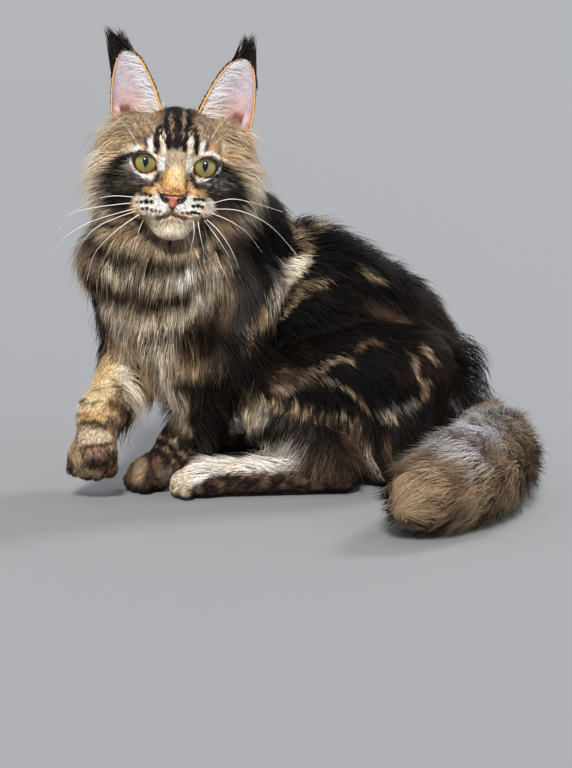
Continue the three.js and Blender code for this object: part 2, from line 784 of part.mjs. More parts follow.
const nodes = [
  ...sides.map(([name, way]) => ({ name: `eye_${name}`, make: (grow) => eye(way, grow), after: [] })),
  { name: "head", make: head, coat: headCoat, after: ["eye_left", "eye_right"] },
  { name: "nose", make: (grow) => noseSolid(grow).subtract(meet(pair(nostril))), after: ["head"] },
  {
    name: "neck",
    make: (grow) => wrap(neckCore, neckAxis, { rings: 5, around: 20, start: 3, end: 3, grow }),
    coat: neckCoat,
    after: ["head"],
  },
  ...sides.map(([name, way]) => ({
    name: `ear_${name}`,
    make: (grow) => earShell(way, grow),
    coat: () => earCoat(way),
    after: ["head", "neck"],
  })),
  {
    name: "chest",
    make: (grow) => wrap(chestCore, chestAxis, { rings: 4, around: 16, start: 3, end: 3, grow }),
    coat: chestCoat,
    after: ["head", "neck"],
  },
  {
    name: "torso",
    make: (grow) => wrap(torsoCore, torsoAxis, { rings: 8, around: 20, start: 3, end: 3, grow }),
    coat: torsoCoat,
    after: ["neck", "chest", "head"],
  },
  limbNode(
    "foreleg_left",
    foreLeft,
    foreLeftAxis,
    () => foreCoat(foreLeft, foreLeftAxis, { first: -70, last: 60, count: 2 }, { first: 110, last: 190 }),
    ["neck", "chest", "torso"],
    () =>
      toeGrooves({
        centre: [-106, -54, 13],
        forward: unit([-1, -0.35, 0]),
        up: [0, 0, 1],
        spread: 7.5,
        ahead: 19,
        high: 12,
      }),
  ),
  limbNode(
    "foreleg_right",
    foreRight,
    foreRightAxis,
    () => foreCoat(foreRight, foreRightAxis, { first: -60, last: 140, count: 3 }, { first: 120, last: 210 }),
    ["neck", "chest", "torso", "foreleg_left"],
    () =>
      toeGrooves({
        centre: [-147, -101, 32],
        forward: unit([-0.1, -0.55, -0.8]),
        up: unit([0, -0.8, 0.55]),
        spread: 7,
        ahead: 17,
        high: 14,
      }),
  ),
  ...sides.flatMap(([name, way]) => {
    const flip = hind(way);
    const path = (points) => axis(points.map(flip), [0, 0, 1]);
    const thigh = thighCore(way);
    return [
      {
        name: `thigh_${name}`,
        make: (grow) => wrap(thigh, path(thighPath), { rings: 7, around: 18, start: 3, end: 3, grow }),
        coat: () => thighCoat(way, thigh, path(thighPath)),
        after: ["torso", "foreleg_left", "foreleg_right", "chest", "neck"],
      },
      {
        name: `foot_${name}`,
        make: (grow) => wrap(footCore(way), path(footPath), { rings: 6, around: 12, start: 2, end: 4, grow }),
        after: [`thigh_${name}`, "torso", "foreleg_left", "foreleg_right", "chest"],
        cuts: () =>
          toeGrooves({
            centre: flip([-70, -81, 12]),
            forward: unit([-1, -0.14 * way, 0]),
            up: [0, 0, 1],
            spread: 7.2,
            ahead: 18,
            high: 11.5,
          }),
      },
    ];
  }),
  ...["root", "middle", "tip"].map((name, i, all) => ({
    name: `tail_${name}`,
    make: (grow) =>
      wrap(tailCore, tailAxis, {
        rings: 4,
        around: 14,
        start: i === 0 ? 2 : 0,
        end: i === 2 ? 3 : 0,
        from: i / 3 + (i ? 0.0005 : 0),
        to: (i + 1) / 3 - (i < 2 ? 0.0005 : 0),
        grow,
      }),
    coat: () => tailCoat(i),
    after: ["torso", "thigh_left", "thigh_right", ...all.slice(0, i).map((n) => `tail_${n}`)],
  })),
];

const floorBox = solidOf(new THREE.BoxGeometry(900, 900, 100).translate(0, 0, -50));
const largest = (solid) => solid.decompose().reduce((a, b) => (a.volume() > b.volume() ? a : b));

const materials = {
  eye: [0x8a8a3a, 0.08],
  nose: [0xb56a55, 0.5],
  ear: [0xb9a79a, 0.8],
  default: [0x5a4632, 0.85],
};

const cat = new THREE.Group();
const bounds = new THREE.Box3();
const made = new Map();
for (const node of nodes) {
  node.strands = node.coat ? node.coat().filter(Boolean) : [];
  made.set(node.name, node);
}
const whole = (node, grow) => meet([node.make(grow), ...node.strands.map((s) => strand(s, grow))]);
for (const node of nodes) {
  const room = node.after.map((name) => whole(made.get(name), GAP));
  const cutters = [floorBox, ...room, ...(node.cuts ? node.cuts() : [])];
  const solid = largest(whole(node, 0).subtract(meet(cutters)));
  const mesh = solid.getMesh();
  const geometry = new THREE.BufferGeometry()
    .setAttribute("position", new THREE.BufferAttribute(mesh.vertProperties, 3))
    .setIndex(new THREE.BufferAttribute(mesh.triVerts, 1));
  const [color, roughness] = materials[node.name.split("_")[0]] || materials.default;
  const piece = new THREE.Mesh(geometry, new THREE.MeshStandardMaterial({ color, roughness, metalness: 0 }));
  piece.name = node.name;
  cat.add(piece);
  bounds.union(new THREE.Box3().setFromBufferAttribute(geometry.attributes.position));
}

// The origin is on the floor, under the middle of the cat
cat.position.set(-(bounds.min.x + bounds.max.x) / 2, -(bounds.min.y + bounds.max.y) / 2, 0);

export default cat;
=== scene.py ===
"""A life-size long-haired tabby cat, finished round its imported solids.

Lengths are in millimetres in the modelling frame until place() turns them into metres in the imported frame.
+Z is up, the chest points to -X and the face looks to -Y. In the head's own frame X runs to the cat's left,
Y to the back of the head and Z up, from the point between the fronts of the eyes.

The markings are laid out in the front view: millimetres across and up at the model's middle, as seen()
gives them.
"""

import math

import bpy
import numpy as np
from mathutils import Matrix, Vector, kdtree


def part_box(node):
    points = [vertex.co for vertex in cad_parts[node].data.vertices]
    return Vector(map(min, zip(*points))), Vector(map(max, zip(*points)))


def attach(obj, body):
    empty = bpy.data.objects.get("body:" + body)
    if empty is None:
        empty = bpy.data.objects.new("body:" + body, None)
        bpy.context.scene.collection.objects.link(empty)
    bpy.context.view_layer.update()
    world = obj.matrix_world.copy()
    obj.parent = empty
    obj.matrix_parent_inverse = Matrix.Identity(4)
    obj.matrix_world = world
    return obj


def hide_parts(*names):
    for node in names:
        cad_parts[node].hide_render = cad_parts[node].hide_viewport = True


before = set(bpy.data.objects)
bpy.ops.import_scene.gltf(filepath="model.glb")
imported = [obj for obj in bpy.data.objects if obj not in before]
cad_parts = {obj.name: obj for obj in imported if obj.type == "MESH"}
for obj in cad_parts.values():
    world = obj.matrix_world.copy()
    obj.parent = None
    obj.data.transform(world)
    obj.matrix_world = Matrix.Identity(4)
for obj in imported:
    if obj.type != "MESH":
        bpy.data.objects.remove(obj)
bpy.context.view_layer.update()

random = np.random.RandomState(11)

# Driving dimensions
EYE_RADIUS = 10.5
EYE_SPACING = 45.6
FACE = np.array([-82.7, -100.0, 256.2])
FACE_ROLL = 4.5
FACE_YAW = 2.5
PELVIS_Y = 28.0  # the plane that mirrors the hind legs
SIDES = (("right", -1), ("left", 1))
VIEW_TILT = math.radians(7.5)
VIEW_DISTANCE = 1900.0
VIEW_MIDDLE_Z = 77.3
ENDLESS = 1e9  # a distance past every form

FORWARD = np.array([0, math.cos(VIEW_TILT), -math.sin(VIEW_TILT)])
UPWARD = np.array([0, math.sin(VIEW_TILT), math.cos(VIEW_TILT)])
VIEWPOINT = np.array([0, 0, VIEW_MIDDLE_Z]) - VIEW_DISTANCE * FORWARD


def seen(p):
    """Where points stand in the front view."""
    away = p - VIEWPOINT
    depth = away @ FORWARD / VIEW_DISTANCE
    return away[..., 0] / depth, away @ UPWARD / depth


def from_view(u, v, y):
    """The points at u and v of the front view that lie at y."""
    way = VIEW_DISTANCE * FORWARD + np.stack([u, 0 * u, 0 * u], -1) + v[..., None] * UPWARD
    return VIEWPOINT + way * ((y - VIEWPOINT[1]) / way[..., 1])[..., None]


def turn(angle, i, j):
    """A rotation that carries axis i towards axis j."""
    matrix = np.eye(3)
    matrix[i, i] = matrix[j, j] = math.cos(math.radians(angle))
    matrix[j, i] = math.sin(math.radians(angle))
    matrix[i, j] = -matrix[j, i]
    return matrix


HEAD_TURN = turn(FACE_YAW, 0, 1) @ turn(FACE_ROLL, 2, 0)


def from_head(p):
    return np.asarray(p, float) @ HEAD_TURN.T + FACE


def to_head(p):
    return (p - FACE) @ HEAD_TURN


def eye_centre(way):
    return np.array([way * EYE_SPACING / 2, EYE_RADIUS + 0.8, 0.0])


packed_eye = sum(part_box("eye_left"), Vector()) * 500
SHIFT = np.array(packed_eye) - from_head(eye_centre(1))


def place(p):
    return (np.asarray(p, float) + SHIFT) / 1000


# Small tools


def unit(v):
    return v / np.maximum(np.linalg.norm(v, axis=-1, keepdims=True), 1e-9)


def dot(a, b):
    return np.einsum("...i,...i", a, b)


def grid(*axes):
    return np.stack(np.meshgrid(*axes, indexing="ij"), -1)


def lerp(a, b, t):
    return a + (b - a) * t


def step(low, high, x):
    t = np.clip((x - low) / (high - low), 0, 1)
    return t * t * (3 - 2 * t)


def bump(x, middle, half, soft):
    """1 within half of the middle, falling to 0 over soft."""
    return 1 - step(half, half + soft, np.abs(x - middle))


def waves(p, size, seed, count=7):
    """Smooth noise between about -1 and 1 with features of a given size."""
    draw = np.random.RandomState(seed)
    total = np.zeros(len(p))
    for _ in range(count):
        way = unit(draw.normal(size=3)) * 2 * np.pi / (size * draw.uniform(0.7, 1.8))
        total += np.sin(p @ way + draw.uniform(0, 6.3))
    return total / math.sqrt(count)


def const(p, v):
    return np.tile(np.array(v, float), (len(p), 1))


# Forms: distances in millimetres, below zero inside


def ball(centre, radii):
    c, r = np.array(centre, float), np.array(radii, float)

    def form(p):
        q = (p - c) / r
        near = np.sqrt(dot(q, q))
        q /= r
        steep = np.sqrt(dot(q, q))
        return np.where(steep > 1e-6, near * (near - 1) / np.maximum(steep, 1e-6), -r.min())

    return form


def limb(start, end, start_radius, end_radius):
    a = np.array(start, float)
    way = np.array(end, float) - a
    length2 = way @ way

    def form(p):
        q = p - a
        t = np.clip(q @ way / length2, 0, 1)
        q = q - t[..., None] * way
        return np.sqrt(dot(q, q)) - lerp(start_radius, end_radius, t)

    return form


def soft_min(a, b, soft):
    h = np.maximum(soft - np.abs(a - b), 0) / soft
    return np.minimum(a, b) - h * h * soft / 4


def blend(soft, *forms):
    def form(p):
        value = forms[0](p)
        for other in forms[1:]:
            value = soft_min(value, other(p), soft)
        return value

    return form


def curve(points, t):
    """A smooth curve through points, at shares t of its span."""
    p = np.array(points, float)
    p = np.vstack([2 * p[0] - p[1], p, 2 * p[-1] - p[-2]])
    s = np.clip(np.asarray(t, float), 0, 1) * (len(points) - 1)
    i = np.minimum(s.astype(int), len(points) - 2)
    f = (s - i)[..., None]
    a, b, c, d = p[i], p[i + 1], p[i + 2], p[i + 3]
    return 0.5 * (2 * b + (c - a) * f + (2 * a - 5 * b + 4 * c - d) * f**2 + (3 * b - a - 3 * c + d) * f**3)


def along(points, p, steps=40):
    """The share of a curve that is nearest to each point, and the distance to it."""
    line = curve(points, np.linspace(0, 1, steps + 1))
    best, share = np.full(len(p), ENDLESS), np.zeros(len(p))
    for i in range(steps):
        a, way = line[i], line[i + 1] - line[i]
        t = np.clip((p - a) @ way / (way @ way), 0, 1)
        d = np.linalg.norm(p - a - t[:, None] * way, axis=1)
        near = d < best
        best[near] = d[near]
        share[near] = (i + t[near]) / steps
    return share, best


def ahead(line, share, reach):
    """The direction of a line round a share of it."""
    return unit(curve(line, np.minimum(share + reach, 1)) - curve(line, np.maximum(share - reach, 0)))


def pair(make):
    return [make(way) for _, way in SIDES]


head_form = blend(
    9,
    ball((0, 46, 9), (38, 43, 31)),  # cranium
    ball((0, 24, 14), (27, 20, 20)),  # forehead
    ball((0, 29, -11), (43, 26, 35)),  # face
    ball((0, 34, -38), (30, 32, 17)),  # jaw
    limb((0, 10, 3), (0, -17, -19), 11.5, 8.5),  # bridge of the nose
    ball((0, -2, -33), (22, 25, 15)),  # muzzle
    ball((0, -8.5, -47), (15, 13, 9)),  # chin
    ball((0, -22, -23), (8.5, 6.5, 6.5)),  # tip of the nose
    *pair(lambda way: ball((way * 19, 13, 15), (13, 10, 9))),  # brows
    *pair(lambda way: ball((way * 32, 38, -12), (21, 26, 25))),  # cheekbones
    *pair(lambda way: ball((way * 34, 46, -28), (20, 24, 24))),  # cheek coat
    *pair(lambda way: ball((way * 33, 44, 18), (16, 19, 17))),  # under the ears
    *pair(lambda way: ball((way * 12.5, -12, -33), (15.5, 14, 10.5))),  # whisker pads
    *pair(lambda way: ball((way * 22, 12, -12), (12, 10, 9))),  # under the eyes
)
torso_form = blend(
    26,
    ball((2, 8, 146), (78, 50, 62)),  # rib cage
    ball((64, 24, 104), (70, 52, 70)),  # loins and belly
    ball((108, 30, 62), (42, 54, 58)),  # rump
    ball((-46, -8, 150), (46, 46, 58)),  # shoulders
)
chest_form = blend(
    18,
    limb((-84, -46, 158), (-78, -56, 96), 44, 24),  # brisket
    ball((-92, -46, 150), (52, 38, 42)),
)
neck_form = blend(
    20,
    limb((-44, -4, 190), (-80, -44, 218), 50, 42),  # nape
    ball((-93, -49, 181), (66, 44, 38)),  # ruff
)
thigh_form = blend(
    18,
    limb((92, -6, 90), (-4, -50, 82), 44, 27),  # thigh
    ball((52, -24, 84), (62, 36, 50)),  # haunch
    ball((80, -22, 48), (44, 34, 44)),  # seat
    limb((-12, -52, 68), (34, -62, 26), 26, 18),  # shank
)
foot_form = blend(
    10,
    limb((44, -64, 15), (-58, -78, 13), 14, 12.5),  # metatarsus
    ball((-70, -81, 12), (19, 16, 12)),  # ball of the foot
)
fore_left_form = blend(
    14,
    limb((-40, -42, 158), (-44, -50, 110), 34, 26),  # upper arm
    limb((-44, -50, 108), (-84, -48, 38), 23, 15.5),  # forearm
    limb((-84, -48, 34), (-104, -53, 15), 15, 14),  # wrist
    ball((-106, -54, 13), (20, 17, 13)),  # paw
)
fore_right_form = blend(
    14,
    limb((-114, 2, 164), (-116, 0, 112), 40, 29),  # upper arm
    limb((-114, 0, 110), (-142, -78, 66), 25, 18),  # forearm
    limb((-142, -80, 62), (-147, -97, 38), 17.5, 17),  # wrist
    ball((-147, -101, 32), (19, 15, 15)),  # paw
)
TORSO_LINE = ((118, 30, 62), (84, 26, 104), (36, 18, 130), (-12, 4, 144), (-50, -10, 152))
NECK_LINE = ((-58, -16, 186), (-74, -36, 200), (-84, -50, 214))
CHEST_LINE = ((-82, -46, 168), (-84, -50, 140), (-78, -56, 96))
THIGH_LINE = ((88, -16, 84), (44, -34, 80), (6, -50, 76))
FOOT_LINE = ((40, -64, 13), (-10, -71, 12), (-68, -80, 11))
FORE_LEFT_LINE = ((-40, -44, 148), (-46, -50, 106), (-64, -49, 70), (-86, -49, 32), (-106, -54, 13))
FORE_RIGHT_LINE = ((-112, 2, 152), (-118, -4, 112), (-128, -40, 88), (-143, -80, 60), (-147, -98, 34))
TAIL_LINE = (
    (112, 34, 40), (142, 24, 36), (158, -18, 33), (158, -80, 32),
    (144, -142, 32), (120, -200, 31), (94, -246, 28),
)  # fmt: skip
TAIL_RADII = (18, 22, 27, 31, 33, 32, 24)
TAIL_STEPS = 24


def tail_form(p):
    t = np.linspace(0, 1, TAIL_STEPS + 1)
    points = curve(TAIL_LINE, t)
    radii = np.interp(t, np.linspace(0, 1, len(TAIL_RADII)), TAIL_RADII)
    value = np.full(p.shape[:-1], ENDLESS)
    for i in range(TAIL_STEPS):
        value = np.minimum(value, limb(points[i], points[i + 1], radii[i], radii[i + 1])(p))
    return value


def mirrored(p):
    """A point's place on the other side of the pelvis."""
    return p * (1, -1, 1) + (0, 2 * PELVIS_Y, 0)


def on_right(form):
    return lambda p: form(mirrored(p))


TOE_BACK = 2.6  # how far a toe stands behind its inner neighbour
TOE_BLEND = 0.8


def toes(centre, forward, up, spread, ahead, radius, low=0.0):
    """Four toes round the front of a paw."""
    f, u = unit(np.array(forward, float)), unit(np.array(up, float))
    side = np.cross(f, u)
    start = np.array(centre) + u * low
    places = (start + side * n * spread + f * (ahead - TOE_BACK * abs(n)) for n in (-1.5, -0.5, 0.5, 1.5))
    return blend(TOE_BLEND, *(ball(at, (radius,) * 3) for at in places))


paw_left_toes = toes((-106, -54, 7.5), (-1, -0.55, 0), (0, 0, 1), 8.6, 14.5, 6.0)
paw_right_toes = toes((-147, -101, 32), (-0.05, -0.72, -0.69), (0, -0.69, 0.72), 8.8, 9.5, 6.2, -3)
foot_toes = toes((-70, -81, 7), (-1, -0.3, 0), (0, 0, 1), 8.2, 14, 5.8)

TAIL_NODES = ["tail_root", "tail_middle", "tail_tip"]
TAIL_ROOM = 45  # from the tail's line to the sides of its box
TOE_SOFT = 2.5
SKIN_SOFT = 6.0
FLOOR_GAP = 0.6
REACH = 14.0  # a region counts for nothing further off than this
FAR = 30.0


def region(node, form, inset, line=None, toes=None):
    """A region of the body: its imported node, its form, how far the skin lies inside it, its line and its toes."""
    if node:
        low, high = (np.array(c) * 1000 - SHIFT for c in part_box(node))
    else:
        low, high = np.min(line, 0) - TAIL_ROOM, np.max(line, 0) + TAIL_ROOM
    box = {"low": low - REACH, "high": high + REACH}
    return {"node": node, "form": form, "inset": inset, "line": line, "toes": toes, **box}


REGIONS = {
    "head": region("head", lambda p: head_form(to_head(p)), 1.6),
    "neck": region("neck", neck_form, 5, NECK_LINE),
    "chest": region("chest", chest_form, 5, CHEST_LINE),
    "torso": region("torso", torso_form, 5, TORSO_LINE),
    "fore_left": region("foreleg_left", fore_left_form, 2.4, FORE_LEFT_LINE, paw_left_toes),
    "fore_right": region("foreleg_right", fore_right_form, 2.4, FORE_RIGHT_LINE, paw_right_toes),
    "thigh_left": region("thigh_left", thigh_form, 5, THIGH_LINE),
    "thigh_right": region("thigh_right", on_right(thigh_form), 5, THIGH_LINE),
    "foot_left": region("foot_left", foot_form, 0.6, FOOT_LINE, foot_toes),
    "foot_right": region("foot_right", on_right(foot_form), 0.6, FOOT_LINE, on_right(foot_toes)),
    "tail": region(None, tail_form, 7, TAIL_LINE),
}
NAMES = list(REGIONS)


def region_skin(name, p):
    own = REGIONS[name]
    value = own["form"](p) + own["inset"]
    return soft_min(value, own["toes"](p), TOE_SOFT) if own["toes"] else value


def region_near(name, p):
    """region_skin where a region is near, and FAR elsewhere."""
    own = REGIONS[name]
    value = np.full(len(p), FAR)
    near = np.all((p > own["low"]) & (p < own["high"]), 1)
    if near.any():
        value[near] = region_skin(name, p[near])
    return value


# The lids' outline and the opening between them, about the centre of the cat's left eye
LID_UPPER = ((-10.3, -6.0), (-8.0, 8.6), (4.6, 11.6), (10.8, 3.4))
LID_LOWER = ((10.8, 3.4), (8.4, -10.2), (-3.6, -12.4), (-10.3, -6.0))
LID_STEPS = 200
IRIS_CENTRE = (-0.4, -0.6)
OPENING_RADIUS = 8.1
OPENING_TOP = 6.2


def bezier(points, t):
    a, b, c, d = (np.array(v, float) for v in points)
    t = t[:, None]
    return a * (1 - t) ** 3 + 3 * b * t * (1 - t) ** 2 + 3 * c * t**2 * (1 - t) + d * t**3


steps = np.linspace(0, 1, LID_STEPS, endpoint=False)
almond = np.vstack([bezier(line, steps) for line in (LID_UPPER, LID_LOWER)]) - IRIS_CENTRE
almond_angle = np.arctan2(almond[:, 1], almond[:, 0])
almond_order = np.argsort(almond_angle)


def almond_radius(angle):
    """How far the lids' outline is from the middle of the iris."""
    reach = np.hypot(*almond.T)
    return np.interp(angle, almond_angle[almond_order], reach[almond_order], period=2 * np.pi)


def lid_distance(q, way):
    """How far points lie outside the lids' outline, seen along the head."""
    e = q - eye_centre(way)
    x, z = way * e[..., 0] - IRIS_CENTRE[0], e[..., 2] - IRIS_CENTRE[1]
    return np.hypot(x, z) - almond_radius(np.arctan2(z, x))


def eye_openings(p):
    """Below zero in the openings that hold the lids and the eyes."""
    q = to_head(p)
    value = np.full(p.shape[:-1], ENDLESS)
    for _, way in SIDES:
        value = np.minimum(value, np.maximum(lid_distance(q, way) + 0.2, q[..., 1] - eye_centre(way)[1]))
    return value


MEET_STEPS, MEET_SHARE = 70, 0.8
MEET_START = -180.0  # in front of every form


def meet(u, v, form):
    """The points of a form seen at u and v of the front view."""
    y = np.full(len(u), MEET_START)
    for _ in range(MEET_STEPS):
        y = y + MEET_SHARE * np.clip(form(from_view(u, v, y)), -2, 8)
    return from_view(u, v, y)


def on_face(line, steps):
    """The points of the bare head seen along a line of the front view."""
    uv = curve(line, np.linspace(0, 1, steps))
    return meet(uv[:, 0], uv[:, 1], lambda p: region_skin("head", p))


MOUTH = (
    (-116, 136), (-108.8, 132.4), (-102.4, 132), (-96.8, 134), (-91.6, 136.8),
    (-86.4, 134), (-80.8, 131.6), (-74.4, 130.8), (-68, 133.2),
)  # fmt: skip
PHILTRUM = ((-91.6, 143.2), (-91.6, 136.4))
mouth_line = on_face(MOUTH, 25)
GROOVE_RADIUS = 1.5
GROOVE_STEPS = slice(7, 18)  # the part of the mouth's line that is parted


def groove(p):
    """The parting of the lips."""
    value = np.full(p.shape[:-1], ENDLESS)
    line = mouth_line[GROOVE_STEPS]
    for a, b in zip(line, line[1:]):
        value = np.minimum(value, limb(a, b, GROOVE_RADIUS, GROOVE_RADIUS)(p))
    return value


FACE_BOX = ((-148, -150, 195), (-22, -60, 300))
EYE_MOUND = 1.1  # how far the skin stands over the eyes
FACE_SOFT = 1.5


def finish_head(value, p):
    """The skin with the mounds of the eyes, their openings and the parting of the lips."""
    q = to_head(p)
    for _, way in SIDES:
        lid = np.linalg.norm(q - eye_centre(way), axis=-1) - (EYE_RADIUS + EYE_MOUND)
        value = soft_min(value, lid, FACE_SOFT)
    value = np.maximum(value, -eye_openings(p))
    return -soft_min(-value, groove(p), FACE_SOFT)


def skin_form(p):
    value = region_near(NAMES[0], p)
    for name in NAMES[1:]:
        value = soft_min(value, region_near(name, p), SKIN_SOFT)
    front = np.flatnonzero((p[:, 1] < FACE_BOX[1][1]) & (p[:, 2] > FACE_BOX[0][2]))
    if len(front):
        value[front] = finish_head(value[front], p[front])
    return np.maximum(value, FLOOR_GAP - p[..., 2])


def surface_net(axes, values):
    """The zero surface of a field on a rectilinear grid, as points and quads."""
    shape = np.array(values.shape) - 1
    cells, spots, quads = [], [], []
    for axis in range(3):
        u, v = (axis + 1) % 3, (axis + 2) % 3
        low = np.take(values, range(values.shape[axis] - 1), axis)
        high = np.take(values, range(1, values.shape[axis]), axis)
        at = np.argwhere((low < 0) != (high < 0))
        at = at[(at[:, u] > 0) & (at[:, v] > 0) & (at[:, u] < shape[u]) & (at[:, v] < shape[v])]
        a, b = low[tuple(at.T)], high[tuple(at.T)]
        spot = np.stack([axes[i][at[:, i]] for i in range(3)], 1)
        spot[:, axis] += a / (a - b) * (axes[axis][at[:, axis] + 1] - axes[axis][at[:, axis]])
        ring = []
        for du, dv in ((0, 0), (1, 0), (1, 1), (0, 1)):
            cell = at.copy()
            cell[:, u] -= du
            cell[:, v] -= dv
            ring.append(np.ravel_multi_index(cell.T, shape))
            spots.append(spot)
        cells.extend(ring)
        quad = np.stack(ring, 1)
        quad[a > 0] = quad[a > 0][:, ::-1]
        quads.append(quad)
    used, inverse = np.unique(np.concatenate(cells), return_inverse=True)
    spots = np.concatenate(spots)
    count = np.bincount(inverse)
    points = np.stack([np.bincount(inverse, spots[:, i]) / count for i in range(3)], 1)
    return points, np.searchsorted(used, np.concatenate(quads))


SLOPE_STEP = 0.4


def slope(form, p):
    """A form's distance at points and the direction in which it grows."""
    middle = form(p)
    return middle, unit(np.stack([form(p + way) - middle for way in SLOPE_STEP * np.eye(3)], -1))


# Colours, as they look under plain white light


def srgb(r, g, b):
    c = np.array([r, g, b]) / 255
    return np.where(c <= 0.04045, c / 12.92, ((c + 0.055) / 1.055) ** 2.4)


INK = srgb(17, 14, 13)
BLACK = srgb(27, 23, 22)
SOOT = srgb(64, 57, 55)
UMBER = srgb(86, 66, 54)
BROWN = srgb(122, 96, 76)
GREY = srgb(140, 132, 126)
AGOUTI = srgb(172, 156, 136)
STREAK = srgb(150, 128, 104)
SAND = srgb(176, 152, 124)
TAN = srgb(196, 168, 134)
GOLD = srgb(236, 188, 124)
BUFF = srgb(222, 200, 170)
CREAM = srgb(240, 226, 204)
WHITE = srgb(252, 249, 244)
ICE = srgb(222, 227, 240)
MAUVE = srgb(158, 122, 110)
HONEY = srgb(255, 226, 176)
ORANGE = srgb(232, 166, 92)


def paint(base, colour, share):
    return base + (colour - base) * np.clip(share, 0, 1)[..., None]


def stripe(u, v, points, widths, soft=1.5):
    """1 on a stripe along a line with a half width at each point (or one for all), falling off over soft."""
    result = np.zeros(len(u))
    widths = np.broadcast_to(widths, len(points))
    for (u0, v0), (u1, v1), w0, w1 in zip(points, points[1:], widths, widths[1:]):
        du, dv = u1 - u0, v1 - v0
        t = np.clip(((u - u0) * du + (v - v0) * dv) / (du * du + dv * dv), 0, 1)
        d = np.hypot(u - u0 - t * du, v - v0 - t * dv)
        result = np.maximum(result, 1 - step(0, soft, d - lerp(w0, w1, t)))
    return result


def spot(u, v, middle, ru, rv, soft=0.5):
    return 1 - step(1, 1 + soft, np.hypot((u - middle[0]) / ru, (v - middle[1]) / rv))


def draw(colour, u, v, marks):
    """Stripes and spots painted over a colour: (points, half widths, soft, tone, share)."""
    for points, widths, soft, tone, share in marks:
        colour = paint(colour, tone, share * stripe(u, v, points, widths, soft))
    return colour


